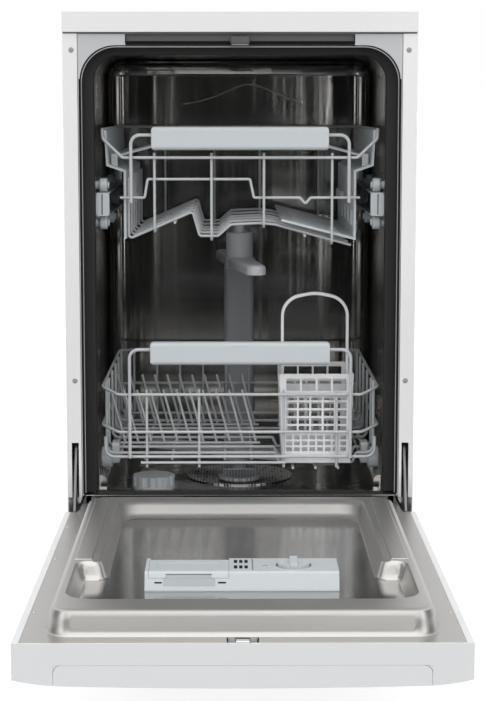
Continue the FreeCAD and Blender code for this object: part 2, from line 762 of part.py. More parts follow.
def sump():
    """Bowl under the tub floor, with the post that carries the lower spray arm."""
    top = TUB_FLOOR - TUB_WALL - STILL_GAP
    outer = SUMP_RADIUS + 4
    profile = [
        V(0, 0, top - SUMP_DEPTH),
        V(outer - 18, 0, top - SUMP_DEPTH),
        V(outer, 0, top - SUMP_DEPTH + 26),
        V(outer, 0, top - 4),
        V(outer + 8, 0, top - 4),
        V(outer + 8, 0, top),
        V(SUMP_RADIUS, 0, top),
        V(SUMP_RADIUS, 0, top - SUMP_DEPTH + 28),
        V(SUMP_RADIUS - 16, 0, top - SUMP_DEPTH + 4),
        V(0, 0, top - SUMP_DEPTH + 4),
    ]
    bowl = Part.Face(Part.makePolygon(profile + profile[:1])).revolve(V(0, 0, 0), V(0, 0, 1), 360)
    bowl.translate(V(0, SUMP_Y, 0))
    foot_z = top - SUMP_DEPTH + 2
    post = rod(V(0, ARM_Y, foot_z), V(0, ARM_Y, ARM_HIGH - 5), ARM_POST_RADIUS)
    pipe = rod(V(0, ARM_Y, foot_z + 6), V(0, ARM_Y, ARM_HIGH), ARM_POST_RADIUS - 3)
    return joined([bowl, post]).cut(pipe)


def filter_plate():
    """Flat perforated strainer round the filter cup and the arm post."""
    low = TUB_FLOOR + STILL_GAP
    disc = rod(V(0, SUMP_Y, low), V(0, SUMP_Y, low + 1.5), SUMP_RADIUS + 8)
    holes = [
        rod(V(0, ARM_Y, low - 1), V(0, ARM_Y, low + 3), ARM_POST_RADIUS + 1),
        rod(V(0, FILTER_Y, low - 1), V(0, FILTER_Y, low + 3), FILTER_RADIUS + 1),
    ]
    for row, count in ((36.0, 10), (50.0, 16), (62.0, 20)):
        for i in range(count):
            turn = math.radians(360 * i / count)
            x = row * math.cos(turn)
            y = SUMP_Y + row * math.sin(turn)
            to_cup = math.hypot(x, y - FILTER_Y) - FILTER_RADIUS
            to_post = math.hypot(x, y - ARM_Y) - ARM_POST_RADIUS
            if to_cup > 5 and to_post > 5:
                holes.append(rod(V(x, y, low - 1), V(x, y, low + 3), 2.2))
    return disc.cut(holes)


def filter_cup():
    """Fine filter: open-topped cup with a rim and a turning bar."""
    top = TUB_FLOOR + 8
    low = TUB_FLOOR - 56
    centre = V(0, FILTER_Y, 0)
    cup = ring(centre + V(0, 0, low), centre + V(0, 0, top), FILTER_RADIUS, FILTER_RADIUS - 2)
    floor = rod(centre + V(0, 0, low), centre + V(0, 0, low + 2), FILTER_RADIUS - 1)
    rim = ring(centre + V(0, 0, top - 4), centre + V(0, 0, top), FILTER_RADIUS + 6, FILTER_RADIUS - 2)
    bar = box((-FILTER_RADIUS + 1, FILTER_RADIUS - 1), (FILTER_Y - 3, FILTER_Y + 3), (top - 4, top + 9))
    bar = bar.makeFillet(2.0, edges_near(bar, lambda p: near(p.z, top + 9)))
    return joined([cup, floor, rim, bar])


def softener():
    """Tank under the tub floor with the threaded neck for salt."""
    top = TUB_FLOOR - TUB_WALL - STILL_GAP
    beside = min(SALT_X + 40, -SUMP_RADIUS - 12)
    tank = box((SALT_X - 60, beside), (SALT_Y - 35, SALT_Y + 70), (BASE_TOP + 8, top - 8))
    tank = tank.makeFillet(10, edges_near(tank, lambda p: near(p.z, (BASE_TOP + top) / 2)))
    centre = V(SALT_X, SALT_Y, 0)
    neck = rod(centre + V(0, 0, top - 10), centre + V(0, 0, TUB_FLOOR + 5), SALT_RADIUS - 7)
    collar = rod(centre + V(0, 0, top - 10), centre + V(0, 0, top), SALT_RADIUS)
    well = rod(centre + V(0, 0, top - 60), centre + V(0, 0, TUB_FLOOR + 6), SALT_RADIUS - 10)
    return joined([tank, neck, collar]).cut(well)


def salt_cap():
    """Screw cap with a scalloped grip."""
    low = TUB_FLOOR + RUN_GAP
    centre = V(SALT_X, SALT_Y, 0)
    cap = rod(centre + V(0, 0, low), centre + V(0, 0, low + 18), SALT_RADIUS)
    cap = cap.makeFillet(2.0, edges_near(cap, lambda p: near(p.z, low + 18)))
    hollow = rod(centre + V(0, 0, low - 1), centre + V(0, 0, low + 12), SALT_RADIUS - 7 + BORE_GAP)
    scallops = []
    for i in range(10):
        turn = math.radians(36 * i)
        spot = centre + V((SALT_RADIUS + 4) * math.cos(turn), (SALT_RADIUS + 4) * math.sin(turn), 0)
        scallops.append(rod(spot + V(0, 0, low + 5), spot + V(0, 0, low + 20), 7))
    return cap.cut([hollow] + scallops)


def pump_set():
    """Wash pump and drain pump, lying on the floor of the base."""
    axis_z = BASE_FLOOR + 42
    wash = joined(
        [
            rod(V(PUMP_LEFT, PUMP_Y, axis_z), V(-20, PUMP_Y, axis_z), 36),
            rod(V(-20.5, PUMP_Y, axis_z), V(16, PUMP_Y, axis_z), 41),
            rod(V(-2, PUMP_Y, axis_z), V(-2, PUMP_Y, BASE_TOP + 16), 14),
            box((PUMP_LEFT + 10, -30), (PUMP_Y - 14, PUMP_Y + 14), (BASE_FLOOR + STILL_GAP, axis_z)),
        ]
    )
    wash = wash.cut(
        [
            ring(V(PUMP_LEFT + x, PUMP_Y, axis_z), V(PUMP_LEFT + x + 3, PUMP_Y, axis_z), 40, 34.5)
            for x in (12, 24, 36, 48)
        ],
    )
    base = DRAIN.z
    drain = joined(
        [
            rod(V(DRAIN.x, DRAIN_PUMP_Y, base), V(DRAIN.x, DRAIN_PUMP_Y + 70, base), 24),
            rod(V(DRAIN.x, DRAIN_PUMP_Y + 69, base), V(DRAIN.x, CABINET_DEPTH - 5, base), DRAIN_RADIUS),
            rod(
                V(DRAIN.x, BASE_BACK + STILL_GAP, base),
                V(DRAIN.x, BASE_BACK + 2, base),
                DRAIN_RADIUS + 3.5,
            ),
            box(
                (DRAIN.x - 20, DRAIN.x + 20),
                (DRAIN_PUMP_Y + 10, DRAIN_PUMP_Y + 60),
                (BASE_FLOOR + STILL_GAP, base),
            ),
        ]
    )
    return Part.makeCompound([wash, drain])


def inlet_valve():
    """Solenoid valve on the rear wall of the base, with its hose thread."""
    wall = BASE_BACK - BASE_WALL
    body = box((INLET.x - 24, INLET.x + 24), (wall - 46, wall - STILL_GAP), (INLET.z - 22, INLET.z + 22))
    body = body.makeFillet(5, edges_near(body, lambda p: near(p.y, wall - 23 - STILL_GAP / 2)))
    coil = rod(V(INLET.x, wall - 26, INLET.z + 21), V(INLET.x, wall - 26, INLET.z + 46), 15)
    nozzle = rod(V(INLET.x, wall - 10, INLET.z), V(INLET.x, CABINET_DEPTH - 9, INLET.z), INLET_RADIUS)
    nozzle = nozzle.makeChamfer(1.0, edges_near(nozzle, lambda p: near(p.y, CABINET_DEPTH - 9)))
    bore = rod(V(INLET.x, wall - 4, INLET.z), V(INLET.x, CABINET_DEPTH, INLET.z), INLET_RADIUS - 3.5)
    collar = rod(
        V(INLET.x, BASE_BACK + STILL_GAP, INLET.z), V(INLET.x, BASE_BACK + 3, INLET.z), INLET_RADIUS + 3.3
    )
    return joined([body, coil, nozzle, collar]).cut(bore)


def spray_duct():
    """Riser on the rear wall, with the port that feeds the upper arm."""
    half = DUCT_WIDTH / 2
    front = DUCT_BACK - DUCT_DEPTH
    low = TUB_FLOOR + STILL_GAP
    section = [(-half, DUCT_BACK), (half, DUCT_BACK), (half, front), (-half, front)]
    riser = face_xy(section, [0, 0, 8, 8], low).extrude(V(0, 0, DUCT_SHOULDER - low))
    lip = [(-half - 2, DUCT_BACK), (half + 2, DUCT_BACK), (half + 2, front - 3), (-half - 2, front - 3)]
    shoulder = face_xy(lip, [0, 0, 9, 9], DUCT_SHOULDER - 1).extrude(V(0, 0, 6))
    head = [(-half + 4, DUCT_BACK), (half - 4, DUCT_BACK), (half - 4, front + 2), (-half + 4, front + 2)]
    top = face_xy(head, [0, 0, 8, 8], DUCT_SHOULDER + 4).extrude(V(0, 0, DUCT_TOP - DUCT_SHOULDER - 4))
    port = rod(V(0, front + 4, PORT_HEIGHT), V(0, PORT_FACE, PORT_HEIGHT), PORT_RADIUS)
    bore = rod(V(0, front + 14, PORT_HEIGHT), V(0, PORT_FACE - 2, PORT_HEIGHT), PORT_RADIUS - 3)
    rib = box((-2, 2), (front - 2, front + 1), (low + 20, DUCT_SHOULDER - 6))
    return joined([riser, shoulder, top, port, rib]).cut(bore)


def arm_blade(low, high, radius, turn_degrees, centre_y):
    """Two tapered blades of a spray arm with rounded tips and jet holes."""
    outline = [
        (-18, 0),
        (-13, -radius + 18),
        (0, -radius),
        (13, -radius + 18),
        (18, 0),
        (13, radius - 18),
        (0, radius),
        (-13, radius - 18),
    ]
    blade = face_xy(outline, [0, 9, 12, 9, 0, 9, 12, 9], low).extrude(V(0, 0, high - low))
    upper = edges_near(blade, lambda p: near(p.z, high))
    blade = blade.makeFillet((high - low) * 0.42, upper)
    jets = []
    for reach in (0.42, 0.6, 0.78, 0.9):
        for side in (-1, 1):
            spot = V(4 * side, side * reach * radius, high - 2)
            jets.append(rod(spot, spot + V(0, 0, 6), 1.6))
    blade = blade.cut(jets)
    blade.rotate(V(0, 0, 0), V(0, 0, 1), turn_degrees)
    blade.translate(V(0, centre_y, 0))
    return blade


def lower_spray_arm():
    blade = arm_blade(ARM_LOW, ARM_HIGH, ARM_RADIUS, 62.0, ARM_Y)
    hub = rod(V(0, ARM_Y, ARM_LOW - 8), V(0, ARM_Y, ARM_HIGH + 1), ARM_POST_RADIUS + 9)
    bore = rod(V(0, ARM_Y, ARM_LOW - 9), V(0, ARM_Y, ARM_HIGH - 4), ARM_POST_RADIUS + RUN_GAP)
    return joined([blade, hub]).cut(bore)


# Hinges


def hinge_bracket():
    """Right bracket: plate with the pivot pin, bolted to the base."""
    plate_back = BASE_SETBACK - STILL_GAP
    plate = BRACKET_PLATE
    outline = [
        (HINGE_Y - 12, HINGE_Z - 12),
        (plate_back, HINGE_Z - 12),
        (plate_back, HINGE_Z + 12),
        (HINGE_Y - 12, HINGE_Z + 12),
    ]
    arm = face_yz(outline, [11.5, 0, 0, 11.5], plate).extrude(V(LEVER_THICKNESS, 0, 0))
    inner = LIP_HALF - 48
    tab = box((inner, plate + 1), (plate_back - 3, plate_back), (HINGE_Z - 42, HINGE_Z - 6))
    pin = rod(
        V(plate + 1, HINGE_Y, HINGE_Z),
        V(LEVER_PLATE + LEVER_THICKNESS + 2, HINGE_Y, HINGE_Z),
        HINGE_PIN_RADIUS,
    )
    bolts = [
        rod(V(x, plate_back - 6, HINGE_Z - 24), V(x, plate_back - 2, HINGE_Z - 24), 4)
        for x in (inner + 8, inner + 26)
    ]
    return joined([arm, tab, pin] + bolts)


def hinge_lever():
    """Right lever: runs up inside the door and back to the balance spring."""
    x = LEVER_PLATE
    seat = RIM_Y - LINER_SHEET - STILL_GAP
    outline = [
        (HINGE_Y - 13, HINGE_Z - 13),
        (HINGE_Y + 11, HINGE_Z - 13),
        (HINGE_Y + 11, NOTCH_TOP + 6),
        (seat, NOTCH_TOP + 14),
        (seat, HINGE_Z + 250),
        (HINGE_Y - 13, HINGE_Z + 250),
    ]
    door_arm = face_yz(outline, [11, 11, 3, 3, 4, 4], x).extrude(V(LEVER_THICKNESS, 0, 0))
    turn = math.radians(LEVER_ANGLE)
    end = V(x, HINGE_Y + LEVER_REACH * math.cos(turn), HINGE_Z + LEVER_REACH * math.sin(turn))
    along = V(0, math.cos(turn), math.sin(turn))
    across = V(0, -math.sin(turn), math.cos(turn)) * 8
    start = V(x, HINGE_Y, HINGE_Z)
    bar_wire = rounded_path(
        [start - across, end + along * 8 - across, end + along * 8 + across, start + across],
        [0, 7, 7, 0],
        True,
    )
    bar = Part.Face(bar_wire).extrude(V(LEVER_THICKNESS, 0, 0))
    bores = [
        rod(start - V(1, 0, 0), start + V(LEVER_THICKNESS + 1, 0, 0), HINGE_PIN_RADIUS + BORE_GAP),
        rod(end - V(1, 0, 0), end + V(LEVER_THICKNESS + 1, 0, 0), SPRING_WIRE + RUN_GAP),
    ]
    for height in (80, 150, 220):
        spot = V(x, HINGE_Y - 1, HINGE_Z + height)
        bores.append(rod(spot - V(1, 0, 0), spot + V(LEVER_THICKNESS + 1, 0, 0), 2.6))
    return joined([door_arm, bar]).cut(bores)


def spring_anchor():
    """Point of the right balance spring's rear eye."""
    return V(LEVER_PLATE, BASE_SETBACK + 220, BASE_TOP + 7)


def spring_post():
    """Right lug of the base with the pin that holds the spring."""
    anchor = spring_anchor()
    lug = box(
        (anchor.x - 5, BASE_HALF - 1), (anchor.y - 7, anchor.y + 7), (
            BASE_TOP - 12,
            anchor.z - SPRING_WIRE - RUN_GAP,
        )
    )
    pin = rod(V(anchor.x, anchor.y, BASE_TOP - 6), anchor + V(0, 0, 4), SPRING_EYE - SPRING_WIRE - RUN_GAP)
    return [lug, pin]


def door_spring():
    """Right balance spring, drawn stretched between the open door and the base."""
    turn = math.radians(LEVER_ANGLE + 90)
    x = LEVER_PLATE + LEVER_THICKNESS / 2
    beside = LEVER_PLATE + LEVER_THICKNESS + SPRING_WIRE + RUN_GAP
    hook = V(x, HINGE_Y + LEVER_REACH * math.cos(turn), HINGE_Z + LEVER_REACH * math.sin(turn))
    anchor = spring_anchor()
    along = V(anchor - hook).normalize()
    coil = ring(hook + along * 60, anchor - along * 26, SPRING_RADIUS, SPRING_RADIUS - 2)
    front_plate = rod(hook + along * 58, hook + along * 60.5, SPRING_RADIUS - 1)
    rear_plate = rod(anchor - along * 26.5, anchor - along * 24, SPRING_RADIUS - 1)
    front_hook = bent_rod(
        [
            V(LEVER_PLATE - 1, hook.y, hook.z),
            V(beside, hook.y, hook.z),
            V(beside, hook.y, hook.z) + V(0, along.y, along.z) * 26,
            hook + along * 46,
            hook + along * 60.2,
        ],
        SPRING_WIRE,
        2.4,
    )
    eye = Part.makeTorus(SPRING_EYE, SPRING_WIRE, anchor, V(0, 0, 1))
    level = V(along.x, along.y, 0).normalize()
    stem = rod(anchor - along * 25, anchor - level * SPRING_EYE, SPRING_WIRE)
    return joined([coil, front_plate, rear_plate, front_hook, stem, eye])


# Rails for the upper basket


def rail():
    """Right rail: a channel open towards the basket, with an end cap at each end."""
    profile = [
        (RAIL_INNER, RAIL_BOTTOM),
        (RAIL_OUTER, RAIL_BOTTOM),
        (RAIL_OUTER, RAIL_TOP),
        (RAIL_INNER, RAIL_TOP),
        (RAIL_INNER, RAIL_TOP - RAIL_SHEET),
        (RAIL_OUTER - RAIL_SHEET, RAIL_TOP - RAIL_SHEET),
        (RAIL_OUTER - RAIL_SHEET, RAIL_BOTTOM + RAIL_SHEET),
        (RAIL_INNER, RAIL_BOTTOM + RAIL_SHEET),
    ]
    start = RAIL_START + RAIL_CAP + STILL_GAP
    end = RAIL_END - RAIL_CAP - STILL_GAP
    channel = face_xz(profile, 0.0, start).extrude(V(0, end - start, 0))
    pieces = [channel]
    for low in (RAIL_START, RAIL_END - RAIL_CAP):
        cap = box((RAIL_INNER - 0.5, RAIL_OUTER + 0.4), (low, low + RAIL_CAP), (RAIL_BOTTOM, RAIL_TOP))
        cap = cap.makeFillet(3.0, edges_near(cap, lambda p: near(p.y, low + RAIL_CAP / 2)))
        pieces.append(cap)
    return Part.makeCompound(pieces)


def roller(y, z):
    """One grooved roller of the right rail."""
    inner = V(ROLLER_INNER, y, z)
    outer = V(ROLLER_INNER + ROLLER_WIDTH, y, z)
    wheel = ring(inner, outer, ROLLER_RADIUS, ROLLER_AXLE + BORE_GAP)
    edges = edges_near(wheel, lambda p: near(math.hypot(p.y - y, p.z - z), ROLLER_RADIUS))
    rims = [e for e in edges if e.Closed and near(e.BoundBox.XLength, 0)]
    return wheel.makeFillet(1.6, rims)


def rail_support():
    """Right wall plates with roller axles, and the pair of rear rollers."""
    wall = TUB_HALF - STILL_GAP
    pieces = []
    for y in ROLLER_ROWS:
        outline = [
            (y - 12, ROLLER_LOW - 10),
            (y + 12, ROLLER_LOW - 10),
            (y + 12, ROLLER_HIGH + 10),
            (y - 12, ROLLER_HIGH + 10),
        ]
        plate = face_yz(outline, 5.0, wall - 3).extrude(V(3, 0, 0))
        parts = [plate]
        for z in (ROLLER_LOW, ROLLER_HIGH):
            parts.append(rod(V(ROLLER_INNER - 1.5, y, z), V(wall - 2, y, z), ROLLER_AXLE))
            parts.append(rod(V(ROLLER_INNER + ROLLER_WIDTH + 0.5, y, z), V(wall - 2, y, z), 5.5))
            parts.append(rod(V(ROLLER_INNER - 2.5, y, z), V(ROLLER_INNER - 0.5, y, z), 4.6))
        pieces.append(joined(parts))
    rear = ROLLER_ROWS[1]
    pieces += [roller(rear, ROLLER_LOW), roller(rear, ROLLER_HIGH)]
    return pieces


# Upper basket


def upper_profile():
    """Front view of a cross wire of the upper basket, from the left wall to the right."""
    left = -SIDE_WALL_X + 4.0
    return [
        (left, SIDE_JOG - 8),
        (left, UPPER_BASE + 1),
        (-0.413 * SIDE_WALL_X, UPPER_BASE + 37),
        (-0.353 * SIDE_WALL_X, UPPER_BASE + 5),
        (-0.193 * SIDE_WALL_X, UPPER_BASE + 5),
        (-0.08 * SIDE_WALL_X, UPPER_BASE + 20),
        (0.18 * SIDE_WALL_X, UPPER_BASE + 22),
        (0.307 * SIDE_WALL_X, UPPER_BASE + 20),
        (SIDE_WALL_X - 4, UPPER_BASE - 7),
    ]


def height_on(profile, x):
    """Height of a cross wire at one X."""
    for (x0, z0), (x1, z1) in zip(profile[1:], profile[2:]):
        if x0 <= x <= x1:
            return z0 + (z1 - z0) * (x - x0) / (x1 - x0)
    return profile[-1][1]


def height_under(profile, x, gap):
    """Height of a lengthwise wire that hangs just under the cross wires."""
    reach = 0.5
    rise = (height_on(profile, x + reach) - height_on(profile, x - reach)) / (2 * reach)
    return height_on(profile, x) - gap * math.hypot(1.0, rise)


def upper_basket_frame():
    """Welded wires of the upper basket, a hair apart at each crossing."""
    wires = []
    front = BASKET_FRONT
    rear = BASKET_REAR
    low_half = SIDE_WALL_X + 2
    loop = [
        V(-low_half, front, UPPER_RIM),
        V(low_half, front, UPPER_RIM),
        V(UPPER_HALF - 1.5, front + 2, UPPER_RIM + 24),
        V(UPPER_HALF, front + 12, UPPER_SIDE_RIM),
        V(UPPER_HALF, rear, UPPER_SIDE_RIM),
        V(-UPPER_HALF, rear, UPPER_SIDE_RIM),
        V(-UPPER_HALF, front + 12, UPPER_SIDE_RIM),
        V(-UPPER_HALF + 1.5, front + 2, UPPER_RIM + 24),
    ]
    wires.append(bent_rod(loop, WIRE, 5.0, True))
    step = WIRE + THIN_WIRE + WELD_GAP
    behind = front + step + 2 * THIN_WIRE + WELD_GAP
    mid = UPPER_BRACKET_BOTTOM + 6
    wires.append(
        bent_rod(
            [
                V(-SIDE_WALL_X - 6, behind, mid),
                V(-0.827 * SIDE_WALL_X, behind, mid),
                V(-0.8 * SIDE_WALL_X, behind, mid + 24),
                V(0.087 * SIDE_WALL_X, behind, mid + 24),
                V(0.12 * SIDE_WALL_X, behind, mid),
                V(0.52 * SIDE_WALL_X, behind, mid),
                V(0.567 * SIDE_WALL_X, behind, mid - 8),
                V(0.613 * SIDE_WALL_X, behind, mid),
                V(SIDE_WALL_X + 6, behind, mid),
            ],
            THIN_WIRE,
            2.5,
        )
    )
    profile = upper_profile()
    for y in UPPER_CROSS_ROWS:
        wires.append(bent_rod([V(x, y, z) for x, z in profile], THIN_WIRE, 4.0))
    gap = 2 * THIN_WIRE + WELD_GAP
    for x in UPPER_UPRIGHTS:
        low = height_under(profile, x, gap)
        top = UPPER_RIM + 6
        inset = front + step
        back = rear - step
        wires.append(
            bent_rod(
                [V(x, inset, top), V(x, inset, low), V(x, back, low), V(x, back, UPPER_SIDE_RIM + 3)],
                THIN_WIRE,
                6.0,
            )
        )
    for x in (-0.567 * SIDE_WALL_X, 0.567 * SIDE_WALL_X):
        low = height_under(profile, x, gap)
        wires.append(rod(V(x, front + 18, low), V(x, rear - 12, low), THIN_WIRE))
    ahead = front - WIRE - STRONG_WIRE - WELD_GAP
    wires.append(
        bent_rod(
            [
                V(-UPPER_BRACKET_X, ahead, UPPER_BRACKET_BOTTOM),
                V(-UPPER_BRACKET_X, ahead, UPPER_BRACKET_TOP),
                V(UPPER_BRACKET_X, ahead, UPPER_BRACKET_TOP),
                V(UPPER_BRACKET_X, ahead, UPPER_BRACKET_BOTTOM),
            ],
            STRONG_WIRE,
            12.0,
        )
    )
    return Part.makeCompound(wires)


def basket_handle(half, bracket_top):
    """Moulded grip that snaps over the bracket wire of a basket."""
    middle = BASKET_FRONT - WIRE - STRONG_WIRE - WELD_GAP
    front = middle - HANDLE_DEPTH + 4
    back = middle + 4
    low = bracket_top - HANDLE_HEIGHT * 0.64
    high = low + HANDLE_HEIGHT
    outline = [(front, low), (back, low), (back, high), (front, high)]
    bar = face_yz(outline, [5, 3, 3, 5], -half).extrude(V(2 * half, 0, 0))
    ends = edges_near(bar, lambda p: near(abs(p.x), half) and p.y < front + 4)
    bar = bar.makeFillet(2.0, ends)
    groove = box(
        (-half - 1, half + 1),
        (middle - STRONG_WIRE - STILL_GAP, back + 1),
        (bracket_top - STRONG_WIRE - STILL_GAP, bracket_top + STRONG_WIRE + STILL_GAP),
    )
    relief = box((-half + 12, half - 12), (front + 4, back + 1), (low + 4, low + 12))
    return bar.cut([groove, relief])


def wall_strip(points, thickness, start, end):
    """A moulded sheet that follows a front-view line."""
    outline = []
    inner = []
    count = len(points)
    for i, (x, z) in enumerate(points):
        before = points[max(i - 1, 0)]
        after = points[min(i + 1, count - 1)]
        normals = []
        for a, b in ((before, (x, z)), ((x, z), after)):
            run = math.hypot(b[0] - a[0], b[1] - a[1])
            if run > 0:
                normals.append(((b[1] - a[1]) / run, -(b[0] - a[0]) / run))
        nx = sum(n[0] for n in normals) / len(normals)
        nz = sum(n[1] for n in normals) / len(normals)
        scale = thickness / 2 / (nx * nx + nz * nz)
        outline.append((x + nx * scale, z + nz * scale))
        inner.append((x - nx * scale, z - nz * scale))
    return face_xz(outline + inner[::-1], 0.0, start).extrude(V(0, end - start, 0))


def side_wall(with_floor):
    """Right moulded wall of the upper basket, cranked outwards above the rail."""
    top_x = UPPER_HALF - WIRE - RUN_GAP - SIDE_WALL / 2
    start = BASKET_FRONT + 14
    end = BASKET_REAR - 10
    line = [
        (SIDE_WALL_X, UPPER_BASE + 2),
        (SIDE_WALL_X, SIDE_JOG),
        (top_x - 2.5, SIDE_JOG + SIDE_JOG_RISE),
        (top_x, UPPER_SIDE_RIM - 1),
    ]
    if with_floor:
        line = [(0.36 * SIDE_WALL_X, UPPER_BASE + 26.5)] + line
    wall = wall_strip(line, SIDE_WALL, start, end)
    cuts = []
    pitch = (end - start - 18) / 5
    slot = (0.467 * SIDE_WALL_X, 0.88 * SIDE_WALL_X)
    for i in range(5):
        y = start + 22 + pitch * i
        window = (y, y + 0.66 * pitch)
        cuts.append(box((SIDE_WALL_X - 5, SIDE_WALL_X + 5), window, (UPPER_BASE + 16, UPPER_BASE + 38)))
        if with_floor:
            for along in (0.0, 0.37):
                near_edge = y + along * pitch
                cuts.append(box(slot, (near_edge, near_edge + 10), (UPPER_BASE, UPPER_BASE + 40)))
    for y in RUNNER_ROWS:
        cuts.append(
            rod(V(SIDE_WALL_X - 5, y, RUNNER_Z), V(SIDE_WALL_X + 5, y, RUNNER_Z), RUNNER_PIN + BORE_GAP),
        )
    wall = wall.cut(cuts)
    extras = []
    for y, toward in ((SHELF_START - RUN_GAP, 1), (SHELF_END + RUN_GAP, -1)):
        low = SIDE_JOG + SIDE_JOG_RISE * (SHELF_PIVOT_X - SIDE_WALL_X) / (top_x - SIDE_WALL_X)
        post = box((SHELF_PIVOT_X - 4, SHELF_PIVOT_X + 4), (0, 4), (low, SHELF_PIVOT_Z + 4))
        post.translate(V(0, y - 4 if toward > 0 else y, 0))
        extras.append(post)
        pin_end = y + toward * 6
        extras.append(
            rod(
                V(SHELF_PIVOT_X, y - toward, SHELF_PIVOT_Z),
                V(SHELF_PIVOT_X, pin_end, SHELF_PIVOT_Z),
                SHELF_PIN,
            )
        )
    return joined([wall] + extras)


def upper_runners():
    """Four runners that ride inside the rails."""
    runners = []
    radius = (RAIL_TOP - RAIL_BOTTOM) / 2 - RAIL_SHEET - 2 * RUN_GAP
    for y in RUNNER_ROWS:
        inner = SIDE_WALL_X - SIDE_WALL / 2 - 3
        disc = rod(V(RAIL_INNER + 2, y, RUNNER_Z), V(RAIL_OUTER - RAIL_SHEET - 2, y, RUNNER_Z), radius)
        pin = rod(V(inner, y, RUNNER_Z), V(RAIL_INNER + 3, y, RUNNER_Z), RUNNER_PIN)
        collar = rod(
            V(SIDE_WALL_X + SIDE_WALL / 2 + STILL_GAP, y, RUNNER_Z),
            V(RAIL_INNER - 4, y, RUNNER_Z),
            8,
        )
        head = rod(V(inner - 2, y, RUNNER_Z), V(inner + 3 - STILL_GAP, y, RUNNER_Z), 7)
        runners.append(joined([disc, pin, collar, head]))
    return [r for right in runners for r in (mirrored(right), right)]


def cup_shelf():
    """Right folding shelf with slots, on two pins."""
    width = SHELF_WIDTH
    slope = math.radians(SHELF_SLOPE)
    plate = box((-width, -2), (SHELF_START, SHELF_END), (-SHELF_THICKNESS / 2, SHELF_THICKNESS / 2))
    lip = box((-width, -width + 3), (SHELF_START, SHELF_END), (-SHELF_THICKNESS / 2, 8))
    knuckle = rod(V(0, SHELF_START, 0), V(0, SHELF_END, 0), 3.6)
    shelf = joined([plate, lip, knuckle])
    cuts = [rod(V(0, SHELF_START - 1, 0), V(0, SHELF_END + 1, 0), SHELF_PIN + BORE_GAP)]
    span = SHELF_END - SHELF_START
    for i in range(6):
        y = SHELF_START + 14 + i * (span - 20) / 6
        cuts.append(box((-width + 8, -10), (y, y + (span - 20) / 9.5), (-5, 5)))
    shelf = shelf.cut(cuts)
    shelf.rotate(V(0, 0, 0), V(0, 1, 0), math.degrees(slope))
    shelf.translate(V(SHELF_PIVOT_X, 0, SHELF_PIVOT_Z))
    return shelf


def upper_feed_tube():
    """Tube under the upper basket from the rear port to the arm hub."""
    z = PORT_HEIGHT
    hub_low = z - PORT_RADIUS - 2
    tube = ring(V(0, ARM_Y, z), V(0, PORT_FACE - RUN_GAP, z), PORT_RADIUS, PORT_RADIUS - 2.5)
    hub = rod(V(0, ARM_Y, hub_low), V(0, ARM_Y, z + PORT_RADIUS + 3), 19)
    seat = height_on(upper_profile(), -7.0) - THIN_WIRE - STILL_GAP
    neck = rod(V(0, ARM_Y, z), V(0, ARM_Y, seat), 7)
    spigot = rod(V(0, ARM_Y, hub_low - 13), V(0, ARM_Y, hub_low + 1), 8)
    flare = Part.makeCone(PORT_RADIUS + 5, PORT_RADIUS, 14, V(0, PORT_FACE - RUN_GAP, z), V(0, -1, 0))
    bore = rod(V(0, ARM_Y + 8, z), V(0, PORT_FACE + 1, z), PORT_RADIUS - 2.5)
    return joined([tube, hub, neck, spigot, flare]).cut(bore)


def upper_spray_arm():
    high = UPPER_ARM_TOP
    blade = arm_blade(high - 14, high - 1, ARM_RADIUS - 5, 9.0, ARM_Y)
    hub = rod(V(0, ARM_Y, UPPER_ARM_LOW), V(0, ARM_Y, high), 20)
    bore = rod(V(0, ARM_Y, high - 13.5), V(0, ARM_Y, high + 1), 8 + RUN_GAP)
    return joined([blade, hub]).cut(bore)


# Lower basket


